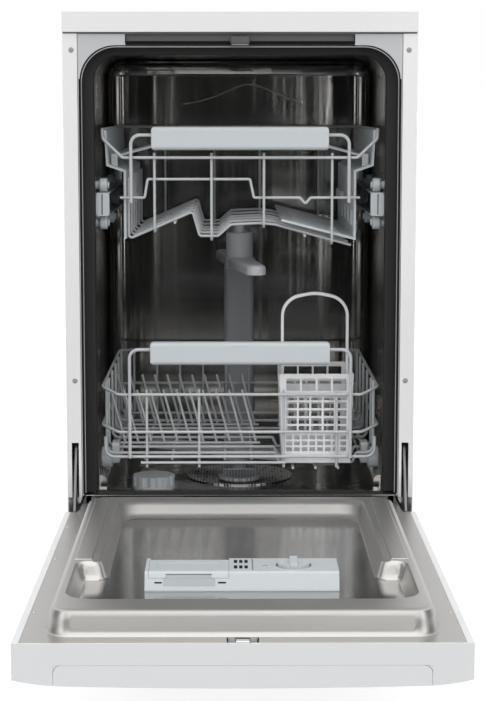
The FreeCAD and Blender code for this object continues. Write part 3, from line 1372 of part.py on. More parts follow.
def lower_basket_frame():
    """Welded wires and plate tines of the lower basket."""
    wires = []
    front = BASKET_FRONT
    rear = BASKET_REAR
    for level, side_level in ((LOWER_RIM, LOWER_SIDE_RIM), (LOWER_MID_RIM, LOWER_SIDE_MID_RIM)):
        loop = [
            V(-LOWER_CORNER, front, level),
            V(LOWER_CORNER, front, level),
            V(LOWER_HALF, front + 16, side_level),
            V(LOWER_HALF, rear - 14, side_level),
            V(LOWER_CORNER, rear, side_level),
            V(-LOWER_CORNER, rear, side_level),
            V(-LOWER_HALF, rear - 14, side_level),
            V(-LOWER_HALF, front + 16, side_level),
        ]
        wires.append(bent_rod(loop, WIRE, 9.0, True))
    leg = LOWER_HALF - 2 * WIRE - 4 * WELD_GAP
    base = LOWER_BASE
    pocket = base - POCKET_DROP
    behind = front + 2 * WIRE + WELD_GAP
    for y in LOWER_CROSS_ROWS:
        floor = [V(-leg, y, base)]
        if y < behind + CUTLERY_DEPTH + 24:
            floor += [
                V(CUTLERY_LEFT - 6, y, base),
                V(CUTLERY_LEFT, y, pocket),
                V(CUTLERY_RIGHT, y, pocket),
                V(CUTLERY_RIGHT + 5, y, base),
            ]
        floor.append(V(leg, y, base))
        top = LOWER_CORNER_TOP if y == LOWER_CROSS_ROWS[0] else LOWER_SIDE_RIM + 4
        legs = [V(-leg, y, top)] + floor + [V(leg, y, top)]
        bends = [0, 9] + [3.0] * (len(legs) - 4) + [9, 0]
        wires.append(bent_rod(legs, WIRE, bends))
    level = base - WIRE - THIN_WIRE - WELD_GAP
    for x in LOWER_LONG_ROWS:
        wires.append(
            bent_rod(
                [V(x, front + 6, level), V(x, rear - 4.5, level), V(x, rear - 4.5, LOWER_SIDE_RIM + 2)],
                THIN_WIRE,
                6.0,
            )
        )
    pocket_level = pocket - WIRE - THIN_WIRE - WELD_GAP
    for inset in (18.0, 48.0, 78.0):
        x = CUTLERY_LEFT + inset
        wires.append(
            rod(V(x, front + 6, pocket_level), V(x, front + CUTLERY_DEPTH + 30, pocket_level), THIN_WIRE),
        )
    for inset in (8.0, 43.0, 76.0):
        x = CUTLERY_LEFT + inset
        start = front + CUTLERY_DEPTH + 36
        wires.append(rod(V(x, start, level), V(x, rear - 6, level), THIN_WIRE))
    front_wire = front + WIRE + THIN_WIRE + WELD_GAP
    for x in LOWER_UPRIGHTS:
        wires.append(tipped_rod(V(x, front_wire, UPRIGHT_FOOT), V(x, front_wire, LOWER_RIM + 6), THIN_WIRE))
    nose = front
    wires.append(
        bent_rod(
            [
                V(-leg, nose, LOWER_MID_RIM - 6),
                V(-leg, nose, base),
                V(leg, nose, base),
                V(leg, nose, LOWER_MID_RIM - 6),
            ],
            WIRE,
            12.0,
        )
    )
    wires.append(rod(V(51 - LOWER_HALF, nose, base - 8), V(CUTLERY_LEFT + 8, nose, base - 8), THIN_WIRE))
    ahead = front - WIRE - STRONG_WIRE - WELD_GAP
    wires.append(
        bent_rod(
            [
                V(-LOWER_BRACKET_X, ahead, base - 1),
                V(-LOWER_BRACKET_X, ahead, LOWER_BRACKET_TOP),
                V(LOWER_BRACKET_X, ahead, LOWER_BRACKET_TOP),
                V(LOWER_BRACKET_X, ahead, base - 1),
            ],
            STRONG_WIRE,
            12.0,
        )
    )
    lean = math.radians(TINE_LEAN)
    row_z = level + 2 * THIN_WIRE + WELD_GAP
    near_row, far_row = TINE_ROWS
    left_start = 24 - LOWER_HALF
    right_start = CUTLERY_LEFT + 10
    for y, first, limit, toward in (
        (near_row, left_start, CUTLERY_LEFT - 28, -1),
        (far_row, left_start, CUTLERY_LEFT - 28, -1),
        (far_row, right_start, LOWER_HALF - 44, 1),
    ):
        count = int((limit - first) / TINE_PITCH) + 1
        last = first + TINE_PITCH * (count - 1)
        wires.append(rod(V(first - 6, y, row_z), V(last + 6, y, row_z), THIN_WIRE))
        for i in range(count):
            foot_point = V(first + TINE_PITCH * i, y, row_z + THIN_WIRE + 0.6)
            tip = foot_point + V(toward * math.sin(lean), 0, math.cos(lean)) * TINE_LENGTH
            wires.append(tipped_rod(foot_point, tip, THIN_WIRE))
    return Part.makeCompound(wires)


def wheel(y):
    """One right wheel of the lower basket."""
    inner = V(WHEEL_INNER, y, WHEEL_Z)
    outer = V(WHEEL_INNER + WHEEL_WIDTH, y, WHEEL_Z)
    disc = ring(inner, outer, WHEEL_RADIUS, WHEEL_PIN + BORE_GAP)
    edges = edges_near(disc, lambda p: near(math.hypot(p.y - y, p.z - WHEEL_Z), WHEEL_RADIUS))
    rims = [e for e in edges if e.Closed and near(e.BoundBox.XLength, 0)]
    disc = disc.makeFillet(2.5, rims)
    dish = ring(outer - V(2.5, 0, 0), outer + V(1, 0, 0), WHEEL_RADIUS - 3.5, 7)
    return disc.cut(dish)


def wheel_clips():
    """Clips on the lower basket with the wheel pins."""
    clips = []
    long_edge = LOWER_LONG_ROWS[-1] + THIN_WIRE
    for y in WHEEL_ROWS:
        inner = long_edge + STILL_GAP
        outline = [
            (y - 13, WHEEL_Z - 7),
            (y + 13, WHEEL_Z - 7),
            (y + 13, WHEEL_Z + 22),
            (y - 13, WHEEL_Z + 22),
        ]
        block = face_yz(outline, 5.0, inner).extrude(V(WHEEL_INNER - RUN_GAP - inner, 0, 0))
        pin = rod(V(inner + 1, y, WHEEL_Z), V(WHEEL_INNER + WHEEL_WIDTH - 1, y, WHEEL_Z), WHEEL_PIN)
        window = box((inner + 2, WHEEL_INNER + 1), (y - 8, y + 8), (WHEEL_Z + 10, WHEEL_Z + 18))
        clips.append(joined([block.cut(window), pin]))
    return [c for right in clips for c in (mirrored(right), right)]


def window_grid(width, rows, columns, low, high, margin):
    """Windows of one wall, as (x0, x1, z0, z1) from its lower middle."""
    cell_w = (width - 2 * margin) / columns
    cell_h = (high - low) / rows
    found = []
    for r in range(rows):
        for c in range(columns):
            x0 = -width / 2 + margin + c * cell_w
            z0 = low + r * cell_h
            found.append((x0 + 1.3, x0 + cell_w - 1.3, z0 + 1.3, z0 + cell_h - 1.3))
    return found


def cutlery_arch(middle, centre_y, high, taper):
    """Carrying handle: a flat strap from one side wall over to the other."""
    half = CUTLERY_WIDTH / 2 - CUTLERY_WALL - taper * ARCH_LEG / CUTLERY_HEIGHT - WELD_GAP
    top = high + CUTLERY_ARCH
    rings = []
    for inset in (0.0, ARCH_STRAP):
        reach = half - inset
        outline = [
            (middle - reach, high - ARCH_LEG - inset),
            (middle + reach, high - ARCH_LEG - inset),
            (middle + reach, top - 9 - inset),
            (middle, top - inset),
            (middle - reach, top - 9 - inset),
        ]
        rings.append(face_xz(outline, [0, 0, 30 - inset, 60 - inset, 30 - inset], centre_y - ARCH_DEPTH / 2))
    strap = rings[0].cut(rings[1]).extrude(V(0, ARCH_DEPTH, 0))
    edges = [e for e in strap.Edges if near(e.BoundBox.YLength, 0) and e.CenterOfMass.z > high]
    return strap.makeFillet(1.2, edges)


def cutlery_basket():
    """Five lattice walls set edge to edge, a partition and an arched handle."""
    low = CUTLERY_LOW
    tall = CUTLERY_HEIGHT
    high = low + tall
    front = BASKET_FRONT + 2 * WIRE + THIN_WIRE + 5
    back = front + CUTLERY_DEPTH
    width = CUTLERY_RIGHT - CUTLERY_LEFT
    middle = (CUTLERY_LEFT + CUTLERY_RIGHT) / 2
    wall = CUTLERY_WALL
    taper = 4.0
    top_row = window_grid(width - 2 * taper, 1, 4, 0.798 * tall, 0.958 * tall, 4)
    centre = window_grid(width - 2 * taper, 5, 5, 0.336 * tall, 0.782 * tall, 4)
    fine = window_grid(width - 2 * taper, 3, 8, 0.118 * tall, 0.319 * tall, 4)
    pieces = []
    for y in (front, back - wall):
        outline = [
            (CUTLERY_LEFT + taper, low),
            (CUTLERY_RIGHT - taper, low),
            (CUTLERY_RIGHT, high),
            (CUTLERY_LEFT, high),
        ]
        plate = face_xz(outline, 0.0, y).extrude(V(0, wall, 0))
        holes = [
            box((middle + a, middle + b), (y - 1, y + wall + 1), (low + c, low + d))
            for a, b, c, d in top_row + centre + fine
        ]
        pieces.append(plate.cut(holes))
    depth = CUTLERY_DEPTH - 2 * wall - 2 * WELD_GAP
    side_windows = window_grid(depth, 1, 4, 0.798 * tall, 0.958 * tall, 4)
    side_windows += window_grid(depth, 6, 6, 0.118 * tall, 0.782 * tall, 4)
    centre_y = (front + back) / 2
    for side in (-1, 1):
        low_x = middle + side * (width / 2 - taper)
        high_x = middle + side * (width / 2)
        inward = -side * wall
        outline = [(low_x, low), (high_x, high), (high_x + inward, high), (low_x + inward, low)]
        plate = face_xz(outline, 0.0, front + wall + WELD_GAP).extrude(V(0, depth, 0))
        holes = [
            box(
                (min(low_x, high_x) - 8, max(low_x, high_x) + 8),
                (centre_y + a, centre_y + b),
                (low + c, low + d),
            )
            for a, b, c, d in side_windows
        ]
        pieces.append(plate.cut(holes))
    half = width / 2 - taper - wall - 2 * WELD_GAP
    floor = box(
        (middle - half, middle + half),
        (front + wall + WELD_GAP, back - wall - WELD_GAP),
        (low, low + 2.5),
    )
    drains = []
    for i in range(4):
        for j in range(5):
            x = middle - half + 10 + i * (2 * half - 20) / 3
            y = front + 16 + j * (CUTLERY_DEPTH - 32) / 4
            drains.append(rod(V(x, y, low - 1), V(x, y, low + 4), 3.5))
    pieces.append(floor.cut(drains))
    rise = low + 2.5 + WELD_GAP
    divider = box((middle - half, middle + half), (centre_y - 1, centre_y + 1), (rise, high - ARCH_LEG - 2))
    openings = window_grid(2 * half, 1, 3, 0.25 * tall, 0.66 * tall, 6)
    pieces.append(
        divider.cut(
            [
                box((middle + a, middle + b), (centre_y - 3, centre_y + 3), (low + c, low + d))
                for a, b, c, d in openings
            ]
        )
    )
    pieces.append(cutlery_arch(middle, centre_y, high, taper))
    return Part.makeCompound(pieces)


# Door, drawn shut


def door_outer_panel():
    """Front sheet with folded sides; its sides stop above the hinge."""
    top = FASCIA_BOTTOM - STILL_GAP
    front = box((-DOOR_HALF, DOOR_HALF), (PAN_FRONT, PAN_FRONT + SHEET), (DOOR_BOTTOM, top))
    side = box((DOOR_HALF - SHEET, DOOR_HALF), (PAN_FRONT, RIM_Y), (NOTCH_TOP, top))
    rim = box((LINER_HALF + RUN_GAP, DOOR_HALF), (RIM_Y - SHEET, RIM_Y), (NOTCH_TOP, top))
    lip = box((-DOOR_HALF, DOOR_HALF), (PAN_FRONT, PAN_FRONT + 8), (DOOR_BOTTOM, DOOR_BOTTOM + SHEET))
    return joined([front, side, mirrored(side), rim, mirrored(rim), lip])


def dish_wire(inset, y):
    """Outline of the raised dish of the liner, drawn in by an inset."""
    half = DISH_HALF - inset
    low = DISH_BOTTOM + inset
    high = DISH_TOP - inset
    corner = DISH_CORNER - inset
    return rounded_path([V(x, y, z) for x, z in arch_points(half, low, high)], corner, True)


def recess_wire(grow, y):
    """T-shaped outline of the recess in the dish; its lower end runs out in a long ramp."""
    wide = RECESS_HALF_TOP + grow
    slim = RECESS_HALF_LOW + grow
    high = DISH_TOP - RECESS_TOP_MARGIN + grow
    step = RECESS_STEP - grow
    low = RECESS_BOTTOM - (grow if grow > 0 else grow * RECESS_RAMP / RECESS_DRAFT)
    points = [
        (-slim, low),
        (slim, low),
        (slim, step),
        (wide, step),
        (wide, high),
        (-wide, high),
        (-wide, step),
        (-slim, step),
    ]
    radii = [
        30 + grow,
        30 + grow,
        8 - grow * 0.3,
        14 + grow,
        28 + grow,
        28 + grow,
        14 + grow,
        8 - grow * 0.3,
    ]
    return rounded_path([V(x, y, z) for x, z in points], radii, True)


def pressed(outline, bends, offset=0.0, sink=0.0):
    """Solid through outlines at the bends of a pressed wall, each an inset and a depth."""
    return Part.makeLoft([outline(inset + offset, y - sink) for inset, y in bends], True, True)


def door_liner():
    """Pressed inner sheet: flat flange, raised dish, sunk recess and the wheel tracks."""
    sheet = LINER_SHEET
    dish_bends = [
        (DISH_DRAFT * across, RIM_Y + DISH_HEIGHT * up)
        for across, up in ((0, 0), (0.16, 0.06), (0.28, 0.2), (0.5, 0.74), (0.66, 0.91), (1, 1))
    ]
    recess_bends = [
        (-RECESS_DRAFT * across, FLOOR_Y + (DISH_HEIGHT - RECESS_FLOOR) * up)
        for across, up in ((1, 0), (0.8, 0.07), (0.6, 0.3), (0.4, 0.7), (0.2, 0.93), (0, 1))
    ]
    crown = pressed(dish_wire, [(0, RIM_Y - sheet)] + dish_bends)
    inside = pressed(dish_wire, [(0, RIM_Y - 1)] + dish_bends, sheet, sheet)
    well = pressed(recess_wire, recess_bends + [(0, DISH_Y + 1)])
    cup = pressed(recess_wire, recess_bends + [(0, DISH_Y + 0.5)], sheet, sheet)
    flange = box((-LINER_HALF, LINER_HALF), (RIM_Y - sheet, RIM_Y), (HINGE_Z - 12, DOOR_TOP - 3.5))
    hole = Part.Face(dish_wire(sheet, RIM_Y - sheet - 1)).extrude(V(0, sheet + 2, 0))
    shell = crown.cut(inside).fuse(cup).cut(well)
    notch = box((BRACKET_PLATE - 2, LINER_HALF + 1), (RIM_Y - 5, RIM_Y + 1), (0, NOTCH_TOP))
    latch = box(
        (-STRIKE_WIDTH / 2 - 3, STRIKE_WIDTH / 2 + 3),
        (RIM_Y - 5, RIM_Y + 1),
        (DISH_TOP + 0.8, DOOR_TOP),
    )
    flange = flange.cut([hole, notch, mirrored(notch), latch])
    track = box(
        (TRACK_INNER + 5, TRACK_OUTER),
        (DISH_Y - 0.5, DISH_Y + TRACK_RISE),
        (TRACK_BOTTOM, RECESS_STEP - 4),
    )
    track = track.makeFillet(1.0, edges_near(track, lambda p: near(p.y, DISH_Y + TRACK_RISE)))
    liner = shell.fuse([flange, track, mirrored(track)])
    window = box(
        (-DISPENSER_HALF + 6, DISPENSER_HALF - 6),
        (FLOOR_Y - 3, FLOOR_Y + 1),
        (DISPENSER_BOTTOM + 7, DISPENSER_BACK_TOP + 1),
    )
    return liner.cut(window).removeSplitter()


def fascia_form(low, high):
    """The bowed control strip as a solid block between two heights."""
    half = DOOR_HALF
    edge = RIM_Y - FASCIA_EDGE_DEPTH
    bow = edge - FASCIA_BULGE
    knee = 0.82 * half
    dip = edge - FASCIA_BULGE * 0.7
    edges = [
        Part.makeLine(V(half, edge, low), V(half, RIM_Y, low)),
        Part.makeLine(V(half, RIM_Y, low), V(-half, RIM_Y, low)),
        Part.makeLine(V(-half, RIM_Y, low), V(-half, edge, low)),
        Part.Arc(
            V(-half, edge, low),
            V(-(half + knee) / 2, (edge + dip) / 2 - 0.8, low),
            V(-knee, dip, low),
        ).toShape(),
        Part.Arc(V(-knee, dip, low), V(0, bow, low), V(knee, dip, low)).toShape(),
        Part.Arc(
            V(knee, dip, low),
            V((half + knee) / 2, (edge + dip) / 2 - 0.8, low),
            V(half, edge, low),
        ).toShape(),
    ]
    return Part.Face(Part.Wire(edges)).extrude(V(0, 0, high - low))


def control_fascia():
    """Hollow control strip with a finger pocket and seats for the controls."""
    body = fascia_form(FASCIA_BOTTOM, DOOR_TOP)
    outer_edges = edges_near(body, lambda p: p.y < RIM_Y - 5 and near(p.z, FASCIA_BOTTOM))
    body = body.makeFillet(2.0, outer_edges)
    wall = FASCIA_WALL
    front = RIM_Y - FASCIA_EDGE_DEPTH + wall
    cavity = box(
        (-LINER_HALF - RUN_GAP, LINER_HALF + RUN_GAP),
        (front, RIM_Y + 1),
        (FASCIA_BOTTOM + wall, DOOR_TOP - wall),
    )
    pocket = box(
        (-POCKET_HALF_WIDTH, POCKET_HALF_WIDTH),
        (-90, GRIP_BACK),
        (GRIP_LOW - POCKET_HEIGHT, GRIP_LOW + 1),
    )
    guard = box(
        (-POCKET_HALF_WIDTH - wall, POCKET_HALF_WIDTH + wall),
        (-90, GRIP_BACK + wall),
        (GRIP_LOW - POCKET_HEIGHT - wall, DOOR_TOP + 1),
    )
    notch = box(
        (-GRIP_HALF_WIDTH - RUN_GAP, GRIP_HALF_WIDTH + RUN_GAP),
        (-90, GRIP_BACK),
        (GRIP_LOW, DOOR_TOP + 1),
    )
    rest = box(
        (
            -GRIP_HALF_WIDTH - wall,
            GRIP_HALF_WIDTH + wall,
        ), (-90, GRIP_BACK + wall), (GRIP_LOW - wall, DOOR_TOP + 1)
    )
    body = joined([body.cut(cavity.cut([guard, rest]))] + hook_cheeks())
    seat = box(
        (-LINER_HALF - RUN_GAP, LINER_HALF + RUN_GAP),
        (RIM_Y - LINER_SHEET - STILL_GAP, RIM_Y + 1),
        (FASCIA_BOTTOM - 1, DOOR_TOP - wall),
    )
    holes = [pocket, notch, seat]
    for x in BUTTON_XS:
        holes.append(rod(V(x, -90, CONTROL_Z), V(x, front + 1, CONTROL_Z), BUTTON_RADIUS + RUN_GAP))
    holes.append(rod(V(KNOB_X, -90, CONTROL_Z), V(KNOB_X, front + 1, CONTROL_Z), 5 + RUN_GAP))
    return body.cut(holes)


def grip_insert():
    """Grip bar let into the top of the control strip."""
    bar = fascia_form(GRIP_LOW + STILL_GAP, DOOR_TOP)
    keep = [
        (-GRIP_HALF_WIDTH, -90),
        (GRIP_HALF_WIDTH, -90),
        (GRIP_HALF_WIDTH, GRIP_BACK - STILL_GAP),
        (-GRIP_HALF_WIDTH, GRIP_BACK - STILL_GAP),
    ]
    clip = face_xy(keep, [0, 0, 8, 8], GRIP_LOW).extrude(V(0, 0, GRIP_HEIGHT + 1))
    bar = bar.common(clip)
    hollow = box(
        (-POCKET_HALF_WIDTH + 2, POCKET_HALF_WIDTH - 2),
        (GRIP_BACK - 14, GRIP_BACK - 4),
        (GRIP_LOW, DOOR_TOP - 6),
    )
    lower_front = edges_near(
        bar,
        lambda p: near(p.z, GRIP_LOW + STILL_GAP) and p.y < RIM_Y - FASCIA_EDGE_DEPTH,
    )
    return bar.makeFillet(2.5, lower_front).cut(hollow)


def dispenser_form():
    """Outer block of the dispenser with its leaning upper face."""
    profile = [
        (FLOOR_Y + STILL_GAP, DISPENSER_BOTTOM),
        (DISPENSER_Y, DISPENSER_BOTTOM + 3),
        (DISPENSER_Y, DISPENSER_TOP - 7),
        (FLOOR_Y + 2, DISPENSER_TOP),
        (FLOOR_Y + STILL_GAP, DISPENSER_TOP),
    ]
    return face_yz(profile, [0, 2.5, 4, 0.8, 0], -DISPENSER_HALF).extrude(V(2 * DISPENSER_HALF, 0, 0))


def lid_block(grow):
    """Space that the detergent lid takes up in the dispenser."""
    return box(
        (LID_LEFT - grow, LID_RIGHT + grow),
        (LID_AXIS_Y - 2.5 - grow, 90),
        (LID_AXIS_Z, LID_BASE + LID_HEIGHT + grow),
    )


def lid_knuckle(radius, extra):
    start = V(LID_LEFT - extra, LID_AXIS_Y, LID_AXIS_Z)
    return rod(start, V(LID_RIGHT + extra, LID_AXIS_Y, LID_AXIS_Z), radius)


def dispenser_body():
    """Dispenser with the detergent cup, vent grid and the rinse-aid filler."""
    behind = box(
        (-DISPENSER_HALF + 7, DISPENSER_HALF - 7),
        (RIM_Y - 26, FLOOR_Y + 1),
        (DISPENSER_BOTTOM + 8, DISPENSER_BACK_TOP),
    )
    body = joined([dispenser_form(), behind])
    low, high = LID_BASE + 11, DISPENSER_BACK_TOP - 6
    cup = box((LID_LEFT + 6, LID_RIGHT - 6), (RIM_Y - 20, 90), (low, high))
    middle = (low + high) / 2
    cup = cup.makeFillet(6, edges_near(cup, lambda p: near(p.z, middle) or near(p.y, RIM_Y - 20)))
    cuts = [
        lid_block(RUN_GAP),
        lid_knuckle(4.0 + RUN_GAP, RUN_GAP),
        cup,
        lid_knuckle(LID_PIN_RADIUS + BORE_GAP, 3),
    ]
    swing = face_yz(
        [
            (LID_AXIS_Y, LID_AXIS_Z),
            (90, LID_AXIS_Z),
            (90, LID_BASE - 12),
            (LID_AXIS_Y, LID_BASE - 12),
        ], 0.0, LID_LEFT - RUN_GAP
    ).extrude(V(LID_RIGHT - LID_LEFT + 2 * RUN_GAP, 0, 0))
    cuts.append(swing)
    for i in range(3):
        for j in range(2):
            x = -8.5 + 5.6 * i
            z = DISPENSER_BOTTOM + 10 + VENT_STEP * j
            cuts.append(box((x, x + 3.6), (DISPENSER_Y - 4, DISPENSER_Y + 1), (z, z + VENT_STEP - 9)))
    cuts.append(
        box((10.5, 12.0), (DISPENSER_Y - 3, DISPENSER_Y + 1), (DISPENSER_BOTTOM + 6, DISPENSER_TOP - 12)),
    )
    seat = V(CAP_X, DISPENSER_Y, CAP_Z)
    cuts.append(rod(seat - V(0, 8, 0), seat + V(0, 2, 0), CAP_RADIUS + 2))
    cuts.append(rod(seat - V(0, 34, 0), seat + V(0, 2, 0), 9))
    return body.cut(cuts)


def detergent_lid():
    """Flap over the detergent cup with a finger bar on its sloping edge."""
    flap = dispenser_form().common(lid_block(0.0))
    knuckle = lid_knuckle(4.0, 0.0)
    pins = lid_knuckle(LID_PIN_RADIUS, 2.4)
    lid = joined([flap, knuckle, pins])
    middle = (LID_LEFT + LID_RIGHT) / 2
    pocket = box(
        (middle - 24, middle + 24),
        (DISPENSER_Y - 8, DISPENSER_Y - 2.5),
        (LID_BASE + LID_HEIGHT - 14, DISPENSER_TOP + 5),
    )
    panel = box(
        (LID_LEFT + 8, LID_RIGHT - 8),
        (DISPENSER_Y - 0.8, DISPENSER_Y + 1),
        (LID_BASE + 14, LID_BASE + LID_HEIGHT - 20),
    )
    return lid.cut([pocket, panel])


def rinse_aid_cap():
    """Quarter-turn cap with a ribbed edge and a grip bar."""
    base = V(CAP_X, DISPENSER_Y - 8 + RUN_GAP, CAP_Z)
    cap = rod(base, base + V(0, 11, 0), CAP_RADIUS)
    bar = box(
        (CAP_X - 4, CAP_X + 4),
        (base.y + 10, base.y + 14),
        (CAP_Z - CAP_RADIUS + 2, CAP_Z + CAP_RADIUS - 2),
    )
    stem = rod(base - V(0, 9, 0), base + V(0, 1, 0), 9 - RUN_GAP)
    ribs = []
    for i in range(24):
        turn = math.radians(15 * i)
        spot = base + V(CAP_RADIUS * math.cos(turn), -1, CAP_RADIUS * math.sin(turn))
        ribs.append(rod(spot, spot + V(0, 14, 0), 0.9))
    return joined([cap, bar, stem]).cut(ribs)


def control_board():
    """Circuit board behind the controls, with its larger parts."""
    y = RIM_Y - 22
    board = box((-BOARD_HALF, BOARD_HALF), (y, y + 1.6), (FASCIA_BOTTOM + 8, CONTROL_Z + 8))
    extras = []
    for share, w, d in ((-0.84, 24, 9), (-0.5, 16, 12), (-0.14, 30, 6), (0.29, 14, 10), (0.61, 34, 7)):
        x = share * BOARD_HALF
        extras.append(box((x, x + w), (y + 1.5, y + 1.6 + d), (CONTROL_Z - 14, CONTROL_Z + 2)))
    wall = RIM_Y - FASCIA_EDGE_DEPTH + FASCIA_WALL + STILL_GAP
    low = FASCIA_BOTTOM + 12
    posts = [rod(V(x, wall, low), V(x, y + 1, low), 3) for x in (6 - BOARD_HALF, BOARD_HALF - 6)]
    return joined([board] + extras + posts)


def latch_hook():
    """Hook that catches the strike, on a cross pin."""
    finger = -STRIKE_REACH + 4 + 1.0
    low = HOOK_PIVOT.z - 4
    outline = [
        (HOOK_PIVOT.y - 3.2, low),
        (finger + 2.0, low),
        (finger + 2.0, HOOK_PIVOT.z),
        (finger + 4.0, HOOK_PIVOT.z),
        (finger + 4.0, STRIKE_LOW + HOOK_BITE),
        (finger, STRIKE_LOW + HOOK_BITE),
        (finger, HOOK_PIVOT.z + 3.5),
        (HOOK_PIVOT.y - 3.2, HOOK_PIVOT.z + 3.5),
    ]
    hook = face_yz(outline, [3, 1, 0, 0.5, 1.5, 0.5, 0.5, 3], -HOOK_HALF).extrude(V(2 * HOOK_HALF, 0, 0))
    reach = V(HOOK_HALF + 5, 0, 0)
    return joined([hook, rod(HOOK_PIVOT - reach, HOOK_PIVOT + reach, HOOK_PIN)])


def hook_cheeks():
    """Bearings of the hook, moulded on the control strip."""
    inner = HOOK_HALF + 1.5
    cheek = box(
        (inner, inner + 3),
        (GRIP_BACK + FASCIA_WALL - 0.5, HOOK_PIVOT.y + 6),
        (HOOK_PIVOT.z - 6, STRIKE_LOW - 1),
    )
    bore = rod(HOOK_PIVOT, HOOK_PIVOT + V(inner + 5, 0, 0), HOOK_PIN + BORE_GAP)
    cheek = cheek.cut(bore)
    return [cheek, mirrored(cheek)]


def programme_knob():
    """Turning knob with a pointer rib."""
    face = RIM_Y - FASCIA_EDGE_DEPTH - FASCIA_BULGE - 0.8
    base = V(KNOB_X, face, CONTROL_Z)
    body = rod(base, base - V(0, 14, 0), KNOB_RADIUS)
    body = body.makeFillet(2.5, edges_near(body, lambda p: near(p.y, face - 14)))
    shaft = rod(base + V(0, 20, 0), base - V(0, 1, 0), 5)
    pointer = box(
        (KNOB_X - 1.5, KNOB_X + 1.5),
        (face - 15, face - 12),
        (CONTROL_Z, CONTROL_Z + KNOB_RADIUS - 3),
    )
    flutes = []
    for i in range(18):
        turn = math.radians(20 * i)
        spot = base + V((KNOB_RADIUS + 0.6) * math.cos(turn), -11, (KNOB_RADIUS + 0.6) * math.sin(turn))
        flutes.append(rod(spot, spot + V(0, 8, 0), 1.4))
    return joined([body.cut(flutes), shaft, pointer])


def push_button(x):
    """Round push button with a retaining flange inside the strip."""
    inner = RIM_Y - FASCIA_EDGE_DEPTH + FASCIA_WALL + RUN_GAP
    face = RIM_Y - FASCIA_EDGE_DEPTH - FASCIA_BULGE * 0.75 - 2.5
    stem = rod(V(x, inner + 1, CONTROL_Z), V(x, face, CONTROL_Z), BUTTON_RADIUS)
    stem = stem.makeFillet(1.2, edges_near(stem, lambda p: near(p.y, face)))
    flange = rod(V(x, inner, CONTROL_Z), V(x, inner + 2, CONTROL_Z), BUTTON_RADIUS + 2)
    return joined([stem, flange])


# Every piece under its node name


def fixed_pieces():
    right_support = rail_support()
    supports = right_support + [mirrored(s) for s in right_support]
    rear = [foot(p) for p in foot_places(REAR_FOOT_Y)]
    panel = side_panel()
    return {
        "worktop": worktop(),
        "side_panel_left": mirrored(panel),
        "side_panel_right": panel,
        "back_panel": back_panel(),
        "base_tray": base_tray(),
        "kick_plate": kick_plate(),
        "tub": tub(),
        "front_frame": front_frame(),
        "top_rail": top_rail(),
        "door_gasket": door_gasket(),
        "latch_strike": latch_strike(),
        "sump_and_softener": Part.makeCompound([sump(), softener()]),
        "filter_plate": filter_plate(),
        "pump_set": pump_set(),
        "inlet_valve": inlet_valve(),
        "spray_duct": spray_duct(),
        "hinge_brackets": both_sides(hinge_bracket()),
        "door_springs": both_sides(door_spring()),
        "rail_supports": Part.makeCompound(supports),
        "rear_feet": Part.makeCompound(rear),
    }


def moving_pieces():
    left_foot, right_foot = foot_places(FRONT_FOOT_Y)
    right_rail = rail()
    low_roller = roller(ROLLER_ROWS[0], ROLLER_LOW)
    high_roller = roller(ROLLER_ROWS[0], ROLLER_HIGH)
    front_wheel = wheel(WHEEL_ROWS[0])
    rear_wheel = wheel(WHEEL_ROWS[1])
    shelf = cup_shelf()
    walls = [mirrored(side_wall(False)), side_wall(True)]
    return {
        "lower_spray_arm": lower_spray_arm(),
        "filter_cup": filter_cup(),
        "salt_cap": salt_cap(),
        "front_foot_left": foot(left_foot),
        "front_foot_right": foot(right_foot),
        "roller_low_left": mirrored(low_roller),
        "roller_low_right": low_roller,
        "roller_high_left": mirrored(high_roller),
        "roller_high_right": high_roller,
        "rail_left": mirrored(right_rail),
        "rail_right": right_rail,
        "upper_basket_frame": upper_basket_frame(),
        "upper_handle": basket_handle(UPPER_HANDLE_HALF, UPPER_BRACKET_TOP),
        "upper_basket_sides": Part.makeCompound(walls),
        "upper_feed_tube": upper_feed_tube(),
        "upper_runners": Part.makeCompound(upper_runners()),
        "upper_spray_arm": upper_spray_arm(),
        "cup_shelf_left": mirrored(shelf),
        "cup_shelf_right": shelf,
        "lower_basket_frame": lower_basket_frame(),
        "lower_handle": basket_handle(LOWER_HANDLE_HALF, LOWER_BRACKET_TOP),
        "wheel_clips": Part.makeCompound(wheel_clips()),
        "wheel_front_left": mirrored(front_wheel),
        "wheel_front_right": front_wheel,
        "wheel_rear_left": mirrored(rear_wheel),
        "wheel_rear_right": rear_wheel,
        "cutlery_basket": cutlery_basket(),
    }


def door_pieces():
    power_x, start_x = BUTTON_XS
    return {
        "door_outer_panel": door_outer_panel(),
        "door_liner": door_liner(),
        "control_fascia": control_fascia(),
        "grip_insert": grip_insert(),
        "dispenser_body": dispenser_body(),
        "detergent_lid": detergent_lid(),
        "rinse_aid_cap": rinse_aid_cap(),
        "hinge_levers": both_sides(hinge_lever()),
        "control_board": control_board(),
        "latch_hook": latch_hook(),
        "programme_knob": programme_knob(),
        "power_button": push_button(power_x),
        "start_button": push_button(start_x),
    }


def main():
    os.makedirs("parts", exist_ok=True)
    pieces = fixed_pieces()
    pieces.update(moving_pieces())
    for name, shape in door_pieces().items():
        pieces[name] = swung(shape, 90.0)
    for name, shape in pieces.items():
        placed = shape.copy()
        placed.translate(V(0, FRONT_SHIFT, 0))
        placed.exportStep("parts/" + name + ".step")


main()
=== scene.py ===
"""Looks of a slimline dishwasher that stands with its drop-down door open.

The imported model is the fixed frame. Each sub-assembly below dresses its CAD nodes with
procedural finishes and adds the small pieces that are only looks.
"""

import json
import logging
import math
from dataclasses import dataclass, field
from enum import Enum
from typing import ClassVar, Iterable, Sequence

